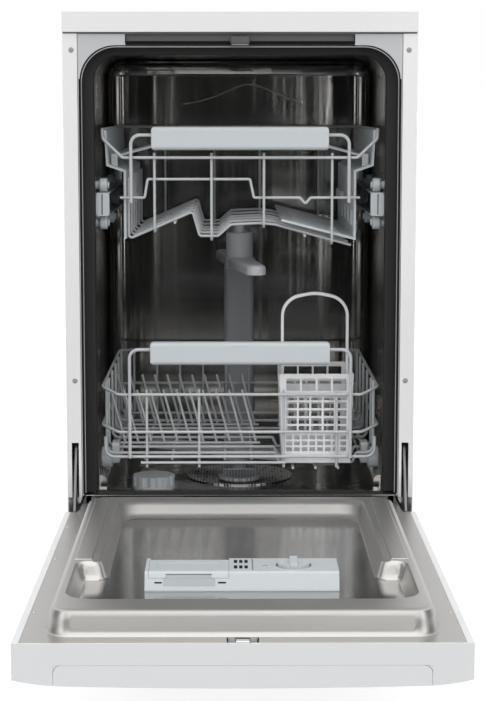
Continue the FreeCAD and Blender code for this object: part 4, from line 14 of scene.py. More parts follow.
import bmesh
import bpy
from bmesh.types import BMesh, BMFace, BMVert
from bpy.types import Material, Node, NodeSocket, NodeTree, Object
from mathutils import Euler, Matrix, Vector
from mathutils.bvhtree import BVHTree

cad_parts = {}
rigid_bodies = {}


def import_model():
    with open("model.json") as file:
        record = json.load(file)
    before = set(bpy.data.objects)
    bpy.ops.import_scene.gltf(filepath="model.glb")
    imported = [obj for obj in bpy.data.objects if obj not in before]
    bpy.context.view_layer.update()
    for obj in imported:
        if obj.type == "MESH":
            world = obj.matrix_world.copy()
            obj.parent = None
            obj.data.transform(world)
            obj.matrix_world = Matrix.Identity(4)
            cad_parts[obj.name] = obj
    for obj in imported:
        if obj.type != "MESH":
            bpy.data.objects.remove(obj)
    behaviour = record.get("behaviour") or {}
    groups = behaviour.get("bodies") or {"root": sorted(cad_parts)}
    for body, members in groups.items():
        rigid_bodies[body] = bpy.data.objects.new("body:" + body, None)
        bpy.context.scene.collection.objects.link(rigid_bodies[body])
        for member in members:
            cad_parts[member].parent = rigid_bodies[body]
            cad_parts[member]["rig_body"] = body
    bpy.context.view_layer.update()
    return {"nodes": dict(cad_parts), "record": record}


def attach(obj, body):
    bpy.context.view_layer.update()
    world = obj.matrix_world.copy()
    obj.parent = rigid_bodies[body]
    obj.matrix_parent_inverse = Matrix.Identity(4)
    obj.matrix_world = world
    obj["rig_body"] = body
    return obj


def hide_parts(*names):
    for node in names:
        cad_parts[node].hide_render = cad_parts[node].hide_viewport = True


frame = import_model()

logging.basicConfig(level=logging.INFO, format="%(message)s")
LOG = logging.getLogger("dishwasher")

Colour = tuple[float, float, float]
Triple = tuple[float, float, float]
Span = tuple[float, float]
Profile = tuple[tuple[float, float], ...]

# The cabinet's front plane in the row frame, and the hinge: its depth from that plane and its height
FRONT_SHIFT = 0.0415
HINGE_Y = -0.020
HINGE_Z = 0.202
HANDLE_ROUNDING = 0.0050

# Points nearer than this are merged, and faces that meet flatter than this are joined
CAD_MERGE = 2e-6
AXIS_MERGE = 1e-6
FLAT_ANGLE = math.radians(0.2)


def at(x: float, y: float, z: float) -> Vector:
    """Row position of a cabinet point given from the cabinet's front plane, in metres."""
    return Vector((x, y + FRONT_SHIFT, z))


def on_open_door(x: float, y: float, z: float) -> Vector:
    """Row position, with the door open, of a point given on the shut door.

    Args:
        x: Distance to the right of the middle.
        y: Depth behind the cabinet's front plane.
        z: Height above the floor.

    Returns:
        The same point after the door has swung down about its hinge.
    """
    return Vector((x, HINGE_Y - (z - HINGE_Z) + FRONT_SHIFT, HINGE_Z + (y - HINGE_Y)))


# Finishes


class Pattern(Enum):
    """What is cut through a surface."""

    PLAIN = "plain"
    PERFORATED = "perforated"


class Groups:
    """Shader node groups that several finishes share, each built once."""

    DRIFT_DETAIL: ClassVar[float] = 3.0
    GRAIN_DETAIL: ClassVar[float] = 2.0
    WAVE_DETAIL: ClassVar[float] = 1.0
    LEAST_ROUGHNESS: ClassVar[float] = 0.03
    _made: ClassVar[dict[str, NodeTree]] = {}

    @classmethod
    def _start(cls, name: str, inputs: dict[str, str], outputs: dict[str, str]) -> NodeTree:
        """Makes an empty group with its sockets.

        Args:
            name: Name of the group.
            inputs: Socket type for each input name.
            outputs: Socket type for each output name.

        Returns:
            The new node tree, with its input and output nodes.
        """
        tree = bpy.data.node_groups.new(name, "ShaderNodeTree")
        for label, kind in inputs.items():
            tree.interface.new_socket(label, in_out="INPUT", socket_type="NodeSocket" + kind)
        for label, kind in outputs.items():
            tree.interface.new_socket(label, in_out="OUTPUT", socket_type="NodeSocket" + kind)
        tree.nodes.new("NodeGroupInput").name = "in"
        tree.nodes.new("NodeGroupOutput").name = "out"
        cls._made[name] = tree
        return tree

    @staticmethod
    def _noise(tree: NodeTree, place: NodeSocket, detail: float) -> NodeSocket:
        """Adds a noise texture that reads coordinates which are already scaled.

        Args:
            tree: Tree to add it to.
            place: Scaled coordinates.
            detail: Number of finer layers.

        Returns:
            Socket with the noise, from 0 to 1.
        """
        noise = tree.nodes.new("ShaderNodeTexNoise")
        noise.inputs["Scale"].default_value = 1.0
        noise.inputs["Detail"].default_value = detail
        tree.links.new(place, noise.inputs["Vector"])
        return noise.outputs["Fac"]

    @staticmethod
    def _scaled(tree: NodeTree, place: NodeSocket, factor: NodeSocket) -> NodeSocket:
        """Adds a node that scales coordinates evenly.

        Args:
            tree: Tree to add it to.
            place: Coordinates.
            factor: Number to scale them by.

        Returns:
            Socket with the scaled coordinates.
        """
        node = tree.nodes.new("ShaderNodeVectorMath")
        node.operation = "SCALE"
        tree.links.new(place, node.inputs[0])
        tree.links.new(factor, node.inputs["Scale"])
        return node.outputs[0]

    @staticmethod
    def math(tree: NodeTree, kind: str, a: object, b: object) -> NodeSocket:
        """Adds a math node.

        Args:
            tree: Tree to add it to.
            kind: Operation name.
            a: First socket or number.
            b: Second socket or number.

        Returns:
            The node's output socket.
        """
        node = tree.nodes.new("ShaderNodeMath")
        node.operation = kind
        for slot, value in zip(node.inputs, (a, b)):
            if isinstance(value, (int, float)):
                slot.default_value = value
            else:
                tree.links.new(value, slot)
        return node.outputs[0]

    @classmethod
    def drift(cls) -> NodeTree:
        """Slow change of tone over a surface, as real sheets and mouldings have, with a painted highlight on
        outer edges and painted shade in hollows.

        Returns:
            The group, built at its first use.
        """
        if "tone_drift" in cls._made:
            return cls._made["tone_drift"]
        tree = cls._start(
            "tone_drift",
            {
                "Vector": "Vector",
                "Color": "Color",
                "Amount": "Float",
                "Scale": "Float",
                "Edge": "Float",
                "Edge Amount": "Float",
            },
            {"Color": "Color"},
        )
        come, go = tree.nodes["in"].outputs, tree.nodes["out"].inputs
        noise = cls._noise(tree, cls._scaled(tree, come["Vector"], come["Scale"]), cls.DRIFT_DETAIL)
        swing = cls.math(tree, "MULTIPLY", cls.math(tree, "SUBTRACT", noise, 0.5), come["Amount"])
        # Pointiness lightens outer edges and darkens hollows: a painted highlight and painted shade
        edge_light = cls.math(tree, "MULTIPLY", cls.math(tree, "SUBTRACT", come["Edge"], 0.5), come["Edge Amount"])
        level = cls.math(tree, "ADD", cls.math(tree, "ADD", swing, edge_light), 1.0)
        grey = tree.nodes.new("ShaderNodeCombineColor")
        for part in grey.inputs[:3]:
            tree.links.new(level, part)
        mix = tree.nodes.new("ShaderNodeMix")
        mix.data_type = "RGBA"
        mix.blend_type = "MULTIPLY"
        mix.inputs["Factor"].default_value = 1.0
        tree.links.new(come["Color"], mix.inputs["A"])
        tree.links.new(grey.outputs[0], mix.inputs["B"])
        tree.links.new(mix.outputs["Result"], go["Color"])
        return tree

    @classmethod
    def grain(cls) -> NodeTree:
        """Fine grain drawn out by a stretch, with a slower wave under it.

        Returns:
            The group, built at its first use.
        """
        if "surface_grain" in cls._made:
            return cls._made["surface_grain"]
        tree = cls._start(
            "surface_grain",
            {
                "Vector": "Vector",
                "Stretch": "Vector",
                "Roughness": "Float",
                "Spread": "Float",
                "Wave Scale": "Float",
                "Wave": "Float",
            },
            {"Roughness": "Float", "Height": "Float"},
        )
        come, go = tree.nodes["in"].outputs, tree.nodes["out"].inputs
        stretch = tree.nodes.new("ShaderNodeVectorMath")
        stretch.operation = "MULTIPLY"
        tree.links.new(come["Vector"], stretch.inputs[0])
        tree.links.new(come["Stretch"], stretch.inputs[1])
        fine = cls._noise(tree, stretch.outputs[0], cls.GRAIN_DETAIL)
        slow = cls._noise(tree, cls._scaled(tree, come["Vector"], come["Wave Scale"]), cls.WAVE_DETAIL)
        centred = cls.math(tree, "SUBTRACT", cls.math(tree, "ADD", fine, slow), 1.0)
        swing = cls.math(tree, "MULTIPLY", centred, come["Spread"])
        rough = cls.math(tree, "ADD", swing, come["Roughness"])
        tree.links.new(cls.math(tree, "MAXIMUM", rough, cls.LEAST_ROUGHNESS), go["Roughness"])
        wave = cls.math(tree, "MULTIPLY", slow, come["Wave"])
        tree.links.new(cls.math(tree, "ADD", fine, wave), go["Height"])
        return tree

    @classmethod
    def holes(cls) -> NodeTree:
        """Mask of small round holes on a square grid.

        Returns:
            The group, built at its first use.
        """
        if "hole_grid" in cls._made:
            return cls._made["hole_grid"]
        inputs = {"Vector": "Vector", "Pitch": "Float", "Radius": "Float"}
        tree = cls._start("hole_grid", inputs, {"Mask": "Float"})
        come, go = tree.nodes["in"].outputs, tree.nodes["out"].inputs
        flat = tree.nodes.new("ShaderNodeVectorMath")
        flat.operation = "MULTIPLY"
        flat.inputs[1].default_value = (1.0, 1.0, 0.0)
        per = cls.math(tree, "DIVIDE", 1.0, come["Pitch"])
        tree.links.new(cls._scaled(tree, come["Vector"], per), flat.inputs[0])
        cells = tree.nodes.new("ShaderNodeTexVoronoi")
        cells.inputs["Scale"].default_value = 1.0
        cells.inputs["Randomness"].default_value = 0.0
        tree.links.new(flat.outputs[0], cells.inputs["Vector"])
        inside = cls.math(tree, "LESS_THAN", cells.outputs["Distance"], come["Radius"])
        tree.links.new(inside, go["Mask"])
        return tree


def even(scale: float) -> Triple:
    """Returns the stretch of a grain that has no direction."""
    return (scale, scale, scale)


@dataclass(frozen=True)
class Finish:
    """One surface finish, made into a material the first time it is used."""

    name: str
    colour: Colour
    roughness: float
    metallic: float = 0.0
    coat: float = 0.0
    pattern: Pattern = Pattern.PLAIN
    stretch: Triple = even(1400.0)
    spread: float = 0.10
    depth: float = 0.06
    wave_scale: float = 9.0
    wave: float = 0.0
    drift: float = 0.05
    drift_scale: float = 11.0
    # How strongly outer edges get a painted highlight and hollows get painted shade
    edge: float = 0.0
    pitch: float = 0.003
    specular: float = 0.5
    polish_level: float | None = None
    polish: float = 0.15
    polish_fade: Span = (0.001, 0.003)
    polish_tilt: Span = (0.004, 0.05)
    COAT_ROUGHNESS: ClassVar[float] = 0.12
    BUMP_DISTANCE: ClassVar[float] = 0.001
    HOLE_SHARE: ClassVar[float] = 0.3
    HOLE_COLOUR: ClassVar[Colour] = (0.008, 0.008, 0.009)
    made: ClassVar[dict[str, Material]] = {}

    def material(self) -> Material:
        """Gives the finish as a node material.

        Returns:
            The material, built at its first use.
        """
        if self.name not in Finish.made:
            Finish.made[self.name] = self._build()
        return Finish.made[self.name]

    @staticmethod
    def _group(tree: NodeTree, group: NodeTree, **values: object) -> Node:
        """Places a shared group in a material.

        Args:
            tree: The material's tree.
            group: The group.
            **values: Value of each input, by its name in small letters.

        Returns:
            The new node.
        """
        node = tree.nodes.new("ShaderNodeGroup")
        node.node_tree = group
        for label, value in values.items():
            node.inputs[label.replace("_", " ").title()].default_value = value
        return node

    def _polished(self, tree: NodeTree, place: Node) -> NodeSocket:
        """Makes the roughness fall to the polish where the sheet lies flat at one height.

        Args:
            tree: The material's tree.
            place: Texture coordinate node of the material.

        Returns:
            Socket with the roughness.
        """
        heights = tree.nodes.new("ShaderNodeSeparateXYZ")
        tree.links.new(place.outputs["Object"], heights.inputs[0])
        slopes = tree.nodes.new("ShaderNodeSeparateXYZ")
        tree.links.new(place.outputs["Normal"], slopes.inputs[0])
        off = Groups.math(tree, "SUBTRACT", heights.outputs["Z"], self.polish_level)
        away = Groups.math(tree, "ABSOLUTE", off, 0.0)
        tilt = Groups.math(tree, "SUBTRACT", 1.0, slopes.outputs["Z"])
        parts = []
        for value, span in ((away, self.polish_fade), (tilt, self.polish_tilt)):
            blend = tree.nodes.new("ShaderNodeMapRange")
            limits = ("From Min", "From Max", "To Min", "To Max")
            for label, limit in zip(limits, (*span, self.polish, self.roughness)):
                blend.inputs[label].default_value = limit
            tree.links.new(value, blend.inputs["Value"])
            parts.append(blend.outputs["Result"])
        return Groups.math(tree, "MAXIMUM", *parts)

    def _build(self) -> Material:
        """Builds the node tree.

        Returns:
            The new material.
        """
        made = bpy.data.materials.new(self.name)
        made.use_nodes = True
        tree = made.node_tree
        shader = tree.nodes["Principled BSDF"]
        shader.inputs["Metallic"].default_value = self.metallic
        shader.inputs["Coat Weight"].default_value = self.coat
        shader.inputs["Coat Roughness"].default_value = self.COAT_ROUGHNESS
        shader.inputs["Specular IOR Level"].default_value = self.specular
        place = tree.nodes.new("ShaderNodeTexCoord")
        shape = tree.nodes.new("ShaderNodeNewGeometry")
        tone = self._group(
            tree,
            Groups.drift(),
            color=(*self.colour, 1.0),
            amount=self.drift,
            scale=self.drift_scale,
            edge_amount=self.edge,
        )
        tree.links.new(place.outputs["Object"], tone.inputs["Vector"])
        tree.links.new(shape.outputs["Pointiness"], tone.inputs["Edge"])
        grain = self._group(
            tree,
            Groups.grain(),
            stretch=self.stretch,
            roughness=self.roughness,
            spread=self.spread,
            wave_scale=self.wave_scale,
            wave=self.wave,
        )
        tree.links.new(place.outputs["Object"], grain.inputs["Vector"])
        if self.polish_level is not None:
            tree.links.new(self._polished(tree, place), grain.inputs["Roughness"])
        bump = tree.nodes.new("ShaderNodeBump")
        bump.inputs["Strength"].default_value = self.depth
        bump.inputs["Distance"].default_value = self.BUMP_DISTANCE
        tree.links.new(grain.outputs["Roughness"], shader.inputs["Roughness"])
        tree.links.new(bump.outputs["Normal"], shader.inputs["Normal"])
        colour = tone.outputs["Color"]
        height = grain.outputs["Height"]
        if self.pattern is Pattern.PERFORATED:
            holes = self._group(tree, Groups.holes(), pitch=self.pitch, radius=self.HOLE_SHARE)
            tree.links.new(place.outputs["Object"], holes.inputs["Vector"])
            dark = tree.nodes.new("ShaderNodeMix")
            dark.data_type = "RGBA"
            dark.inputs["B"].default_value = (*self.HOLE_COLOUR, 1.0)
            tree.links.new(holes.outputs["Mask"], dark.inputs["Factor"])
            tree.links.new(colour, dark.inputs["A"])
            colour = dark.outputs["Result"]
            height = Groups.math(tree, "SUBTRACT", height, holes.outputs["Mask"])
        tree.links.new(colour, shader.inputs["Base Color"])
        tree.links.new(height, bump.inputs["Height"])
        return made


FINISHES: dict[str, Finish] = {
    finish.name: finish
    for finish in (
        Finish("white_laminate", (0.80, 0.80, 0.80), 0.42, coat=0.15, depth=0.05, drift=0.02),
        Finish(
            "white_enamel", (0.80, 0.80, 0.81), 0.30, coat=0.4, stretch=even(700.0), depth=0.03, drift=0.015
        ),
        Finish(
            "galvanised", (0.50, 0.51, 0.52), 0.42, metallic=0.85, stretch=even(160.0), spread=0.22,
            depth=0.03, drift=0.25, drift_scale=60.0,
        ),
        Finish("grey_paint", (0.52, 0.53, 0.54), 0.38, coat=0.1, drift=0.05),
        Finish("base_plastic", (0.05, 0.05, 0.055), 0.55, depth=0.12, edge=0.5),
        Finish(
            "stainless", (0.60, 0.585, 0.56), 0.24, metallic=1.0, stretch=(18.0, 900.0, 900.0), spread=0.10,
            depth=0.02, wave=0.35, drift=0.06,
        ),
        Finish(
            "rubber", (0.018, 0.018, 0.019), 0.58, stretch=even(500.0), depth=0.12, drift=0.2, specular=0.35
        ),
        Finish("steel", (0.42, 0.42, 0.42), 0.36, metallic=1.0, stretch=(900.0, 40.0, 900.0)),
        Finish("duct_plastic", (0.42, 0.44, 0.46), 0.45, depth=0.08, edge=0.25),
        Finish("pale_plastic", (0.53, 0.57, 0.59), 0.42, depth=0.05, drift=0.03, edge=0.15),
        Finish(
            "coated_wire", (0.50, 0.52, 0.535), 0.32, coat=0.2, stretch=even(260.0), depth=0.10, drift=0.05
        ),
        Finish("white_plastic", (0.78, 0.79, 0.80), 0.36, coat=0.1, depth=0.04, drift=0.02, edge=0.08),
        Finish("grey_cap", (0.44, 0.46, 0.48), 0.42, depth=0.06, edge=0.2),
        Finish("dark_plastic", (0.03, 0.03, 0.032), 0.45, depth=0.10, edge=0.4),
        Finish(
            "board_green", (0.03, 0.12, 0.05), 0.35, coat=0.4, stretch=even(300.0), drift=0.4,
            drift_scale=120.0,
        ),
    )
}
TUB_STEEL = Finish(
    "tub_steel", (0.38, 0.375, 0.36), 0.12, metallic=1.0, stretch=(38.0, 38.0, 1.1), spread=0.05, depth=0.7,
    wave_scale=5.0, wave=0.8, drift=0.08,
)
LINER_STEEL = Finish(
    "liner_steel", (0.47, 0.46, 0.445), 0.36, metallic=0.88, stretch=(14.0, 1000.0, 1000.0), spread=0.08,
    depth=0.02, wave_scale=7.0, wave=0.5, drift=0.05, polish_level=0.2262, polish=0.13,
)
SIEVE_STEEL = Finish(
    "sieve_steel", (0.52, 0.52, 0.51), 0.30, metallic=1.0, pattern=Pattern.PERFORATED, pitch=0.0042
)
SIEVE_PLASTIC = Finish("sieve_plastic", (0.33, 0.35, 0.37), 0.45, pattern=Pattern.PERFORATED, pitch=0.0021)
CAP_GREY = Finish("cap_grey", (0.30, 0.30, 0.31), 0.45, depth=0.05)
ZINC_SCREW = Finish("zinc_screw", (0.48, 0.48, 0.46), 0.32, metallic=1.0, depth=0.04)
# Near-black for painted shade, put in gaps, grooves, vents and hinge ends where only shade falls
PAINTED_SHADE = Finish("painted_shade", (0.006, 0.006, 0.0065), 0.7, depth=0.02, specular=0.12)
LENS_GREY = Finish("lens_grey", (0.10, 0.11, 0.13), 0.12, coat=0.8, depth=0.02)
# Grey darker than the pale dispenser: painted shade of the finger well and the lid's slot
WELL_SHADE = Finish("well_shade_grey", (0.40, 0.43, 0.455), 0.42, depth=0.03)
SIGHT_GLASS = Finish("sight_glass", (0.32, 0.34, 0.37), 0.15, coat=0.8, depth=0.02)
PRINT_GREY = Finish("print_grey", (0.16, 0.17, 0.18), 0.5, depth=0.02)
RAIL_GREY = Finish("rail_grey", (0.12, 0.117, 0.12), 0.42, drift=0.06)
STRIKE_GREY = Finish("strike_grey", (0.085, 0.085, 0.088), 0.40, drift=0.05)
# Pale grey for the bead on the seal's edge: a painted highlight
SEAL_HIGHLIGHT = Finish("seal_edge_highlight", (0.34, 0.34, 0.35), 0.5, depth=0.05)
LEVER_STEEL = Finish("lever_steel", (0.17, 0.17, 0.17), 0.42, metallic=1.0, depth=0.04)
# Brighter steel for the bead on the tub's rear wall: a painted reflection
ARCH_REFLECTION = Finish("arch_painted_reflection", (0.50, 0.50, 0.48), 0.30, metallic=1.0, depth=0.02)
HOOK_STEEL = Finish("hook_steel", (0.58, 0.58, 0.57), 0.34, metallic=1.0, depth=0.03)
CARD_BLACK = Finish("card_black", (0.015, 0.015, 0.015), 1.0, specular=0.0)


# Mesh helpers


def as_piece(name: str, bm: BMesh, finish: Finish, body: str, sharp: float = 32.0) -> Object:
    """Turns a finished bmesh into a piece that rides on a body.

    Args:
        name: Name of the piece.
        bm: The mesh, in the row frame; it is freed.
        finish: Surface finish.
        body: CAD body that carries the piece.
        sharp: Angle in degrees past which an edge stays sharp.

    Returns:
        The new object.
    """
    limit = math.radians(sharp)
    for face in bm.faces:
        face.smooth = True
    for edge in bm.edges:
        edge.smooth = len(edge.link_faces) == 2 and edge.calc_face_angle(0.0) < limit
    mesh = bpy.data.meshes.new(name)
    bm.to_mesh(mesh)
    bm.free()
    mesh.materials.append(finish.material())
    piece = bpy.data.objects.new(name, mesh)
    bpy.context.scene.collection.objects.link(piece)
    weighted = piece.modifiers.new("even_normals", "WEIGHTED_NORMAL")
    weighted.keep_sharp = True
    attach(piece, body)
    LOG.info("%s: %d faces on %s", name, len(mesh.polygons), body)
    return piece


def turned(bm: BMesh, profile: Sequence[Span], place: Matrix, steps: int = 24) -> None:
    """Adds a shape turned about an axis to a mesh.

    Args:
        bm: Mesh to add to.
        profile: Radius and height of each point, from the axis outwards.
        place: Where the turned shape goes; it is made about Z.
        steps: Number of steps round the axis.
    """
    points = [bm.verts.new((radius, 0.0, height)) for radius, height in profile]
    edges = [bm.edges.new(pair) for pair in zip(points, points[1:])]
    made = bmesh.ops.spin(
        bm, geom=points + edges, cent=(0, 0, 0), axis=(0, 0, 1), angle=math.tau, steps=steps, use_merge=True
    )
    ends = [item for item in made["geom_last"] if isinstance(item, BMVert)]
    island = _island(points + ends)
    bmesh.ops.remove_doubles(bm, verts=list(island), dist=AXIS_MERGE)
    island = _island(island)
    faces = {face for vert in island for face in vert.link_faces}
    bmesh.ops.recalc_face_normals(bm, faces=list(faces))
    bmesh.ops.transform(bm, matrix=place, verts=list(island))


def _island(seeds: Iterable[BMVert]) -> set[BMVert]:
    """Finds every vertex that edges join to the seeds.

    Args:
        seeds: Vertices to start from; those that a merge has removed are passed over.

    Returns:
        The seeds that are left and all that is joined to them.
    """
    found: set[BMVert] = set()
    waiting = [vert for vert in seeds if vert.is_valid]
    while waiting:
        vert = waiting.pop()
        if vert in found:
            continue
        found.add(vert)
        waiting.extend(edge.other_vert(vert) for edge in vert.link_edges)
    return found


def bead(bm: BMesh, path: Sequence[Vector], radius: float, steps: int = 8) -> None:
    """Adds a round bead that follows a path to a mesh.

    Args:
        bm: Mesh to add to.
        path: Points along the middle of the bead.
        radius: Radius of the bead.
        steps: Number of sides of the bead.
    """
    last = len(path) - 1
    heads = [path[min(index + 1, last)] - path[max(index - 1, 0)] for index in range(len(path))]
    start = facing(path[0], heads[0])
    ring = bmesh.ops.create_circle(bm, cap_ends=True, segments=steps, radius=radius, matrix=start)["verts"]
    cap = ring[0].link_faces[0]
    for index in range(last):
        made = bmesh.ops.extrude_face_region(bm, geom=[cap, *cap.edges])["geom"]
        ring = [item for item in made if isinstance(item, BMVert)]
        cap = next(item for item in made if isinstance(item, BMFace))
        turn = heads[index].rotation_difference(heads[index + 1]).to_matrix().to_4x4()
        step = Matrix.Translation(path[index + 1]) @ turn @ Matrix.Translation(-path[index])
        bmesh.ops.transform(bm, matrix=step, verts=ring)
    faces = {face for vert in _island(ring) for face in vert.link_faces}
    bmesh.ops.recalc_face_normals(bm, faces=list(faces))


def facing(point: Vector, direction: Sequence[float]) -> Matrix:
    """Returns a placement whose Z looks along a direction at a point."""
    return Matrix.Translation(point) @ Vector(direction).to_track_quat("Z", "Y").to_matrix().to_4x4()


def block(bm: BMesh, low: Vector, high: Vector) -> None:
    """Adds a box to a mesh.

    Args:
        bm: Mesh to add to.
        low: Lowest corner.
        high: Highest corner.
    """
    place = Matrix.Translation((low + high) / 2) @ Matrix.Diagonal((*(high - low), 1.0))
    bmesh.ops.create_cube(bm, size=1.0, matrix=place)


def prism(bm: BMesh, outline: Sequence[Vector], depth: Vector) -> None:
    """Adds a straight block that starts from an outline to a mesh.

    Args:
        bm: Mesh to add to.
        outline: Corners of the flat outline.
        depth: Step from the outline to the other end.
    """
    face = bm.faces.new([bm.verts.new(point) for point in outline])
    made = bmesh.ops.extrude_face_region(bm, geom=[face])
    moved = [item for item in made["geom"] if isinstance(item, BMVert)]
    bmesh.ops.translate(bm, verts=moved, vec=depth)
    faces = {near for vert in moved for near in vert.link_faces} | {face}
    bmesh.ops.recalc_face_normals(bm, faces=list(faces))


def node_box(node: str) -> tuple[Vector, Vector]:
    """Measures a CAD node.

    Args:
        node: Name of the node.

    Returns:
        Its lowest and its highest corner.
    """
    spots = [Vector(corner) for corner in frame["nodes"][node].bound_box]
    low, high = (Vector(pick(spot[axis] for spot in spots) for axis in range(3)) for pick in (min, max))
    return low, high


def round_ends(bm: BMesh, radius: float, steps: int = 5) -> None:
    """Rounds the corners, seen from the front, at both ends of a bar that lies across.

    Args:
        bm: Mesh of the bar, which lies evenly about the middle.
        radius: Radius of the rounding.
        steps: Number of strips in each corner.
    """
    reach = max(vert.co.x for vert in bm.verts)
    low, high = (pick(vert.co.z for vert in bm.verts) for pick in (min, max))
    for step in range(steps + 1):
        inset = radius * (1.0 - math.sin(math.radians(90.0 * step / steps)))
        planes = [((side * (reach - inset), 0.0, 0.0), (1.0, 0.0, 0.0)) for side in (-1, 1)]
        planes += [((0.0, 0.0, level), (0.0, 0.0, 1.0)) for level in (low + inset, high - inset)]
        for spot, normal in planes:
            whole = bm.verts[:] + bm.edges[:] + bm.faces[:]
            bmesh.ops.bisect_plane(bm, geom=whole, plane_co=spot, plane_no=normal)
    for vert in bm.verts:
        side = math.copysign(1.0, vert.co.x)
        level = min(max(vert.co.z, low + radius), high - radius)
        away = Vector((abs(vert.co.x) - (reach - radius), vert.co.z - level))
        if away.x > 0.0 and away.length > radius:
            away *= radius / away.length
            vert.co.x, vert.co.z = side * (reach - radius + away.x), level + away.y


class Surface:
    """The CAD surface of one node, to set small pieces on."""

    def __init__(self, node: str) -> None:
        """Reads the node's mesh.

        Args:
            node: Name of the CAD node.
        """
        bm = bmesh.new()
        bm.from_mesh(frame["nodes"][node].data)
        self.tree = BVHTree.FromBMesh(bm)
        bm.free()

    def touch(self, start: Vector, direction: Sequence[float]) -> Vector:
        """Returns the first point met from a start along a direction, or the start if there is none."""
        point, _, _, _ = self.tree.ray_cast(start, Vector(direction))
        return point if point is not None else start


@dataclass
class SubAssembly:
    """A group of CAD nodes that are dressed together."""

    body: str
    nodes: tuple[str, ...] = ()
    finishes: dict[str, Finish] = field(default_factory=dict)
    end_rounding: dict[str, float] = field(default_factory=dict)

    def slots(self) -> dict[str, str]:
        """Returns the record's material slot of each node."""
        return {part["node"]: part["material_slot"] for part in frame["record"]["subparts"]}

    def dress(self) -> None:
        """Puts a merged, smoothly shaded skin with its finish over each CAD node."""
        slots = self.slots()
        for node in self.nodes:
            source = frame["nodes"][node]
            finish = self.finishes.get(node, FINISHES[slots[node]])
            source.data.materials.clear()
            source.data.materials.append(finish.material())
            bm = bmesh.new()
            bm.from_mesh(source.data)
            bmesh.ops.remove_doubles(bm, verts=bm.verts[:], dist=CAD_MERGE)
            bmesh.ops.dissolve_limit(bm, angle_limit=FLAT_ANGLE, verts=bm.verts[:], edges=bm.edges[:])
            if node in self.end_rounding:
                round_ends(bm, self.end_rounding[node])
            skin = as_piece(node + "_skin", bm, finish, source["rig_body"])
            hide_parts(node)

    def build(self) -> None:
        """Dresses the nodes and adds the small pieces."""
        raise NotImplementedError


# Sub-assemblies


@dataclass
class Cabinet(SubAssembly):
    """Outer panels, base, feet and the small parts fixed to them."""

    body: str = "cabinet"
    cap_radius: float = 0.0034
    cap_profile: Profile = ((0.0, 0.0010), (0.6, 0.0009), (0.92, 0.0005), (1.0, 0.0))
    cap_x: float = 0.2129
    cap_heights: tuple[float, ...] = (0.800, 0.379)
    # Where the dark strips of painted shade lie, in the gaps round the mouth and under the worktop
    gap_depths: Span = (0.0009, 0.0014)
    jamb: Span = (0.2012, 0.2038)
    jamb_heights: Span = (0.231, 0.764)
    rail_half: float = 0.1445
    rail_gap: Span = (0.8062, 0.8112)
    strike_half: float = 0.0108
    worktop_gap_half: float = 0.2225
    worktop_gap_depths: Span = (-0.0006, -0.0001)
    worktop_gap_heights: Span = (0.8206, 0.8219)
    rear_bead_x: float = 0.1345
    rear_screw_heights: tuple[float, ...] = (0.14, 0.36, 0.58, 0.80)
    rear_screw_profile: Profile = (
        (0.0, 0.0006), (0.0012, 0.0006), (0.0016, 0.0017), (0.0027, 0.0014), (0.0036, 0.0),
    )
    behind: float = 0.70
    nodes: tuple[str, ...] = (
        "worktop", "side_panel_left", "side_panel_right", "back_panel", "base_tray", "kick_plate",
        "front_frame", "top_rail", "latch_strike", "hinge_brackets", "door_springs", "rear_feet",
        "front_foot_left", "front_foot_right", "pump_set", "inlet_valve", "sump_and_softener",
    )

    def flange_caps(self) -> None:
        """Adds the round plugs on the front flanges of the side panels."""
        bm = bmesh.new()
        profile = [(self.cap_radius * share, rise) for share, rise in self.cap_profile]
        for side in (-1, 1):
            for height in self.cap_heights:
                turned(bm, profile, facing(at(side * self.cap_x, 0.0, height), (0, -1, 0)))
        as_piece("flange_caps", bm, CAP_GREY, self.body)

    def rear_screws(self) -> None:
        """Adds the screws in the two outer beads of the rear sheet."""
        bm = bmesh.new()
        surface = Surface("back_panel")
        for side in (-1, 1):
            for height in self.rear_screw_heights:
                spot = surface.touch(at(side * self.rear_bead_x, self.behind, height), (0, -1, 0))
                turned(bm, self.rear_screw_profile, facing(spot, (0, 1, 0)), steps=16)
        as_piece("rear_screws", bm, ZINC_SCREW, self.body)

    def shadow_gaps(self) -> None:
        """Adds dark strips of painted shade beside the mouth, under the top rail and under the worktop."""
        bm = bmesh.new()
        front, back = self.gap_depths
        for side in (-1, 1):
            near, far = sorted(side * edge for edge in self.jamb)
            block(bm, at(near, front, self.jamb_heights[0]), at(far, back, self.jamb_heights[1]))
            inner, outer = sorted((side * self.strike_half, side * self.rail_half))
            block(bm, at(inner, front, self.rail_gap[0]), at(outer, back, self.rail_gap[1]))
        ends = zip((-1, 1), self.worktop_gap_depths, self.worktop_gap_heights)
        block(bm, *(at(side * self.worktop_gap_half, depth, height) for side, depth, height in ends))
        as_piece("shadow_gaps", bm, PAINTED_SHADE, self.body)

    def build(self) -> None:
        """Dresses the cabinet and adds caps, screws and strips of painted shade in its gaps."""
        self.finishes = {"top_rail": RAIL_GREY, "latch_strike": STRIKE_GREY}
        self.dress()
        self.flange_caps()
        self.rear_screws()
        self.shadow_gaps()


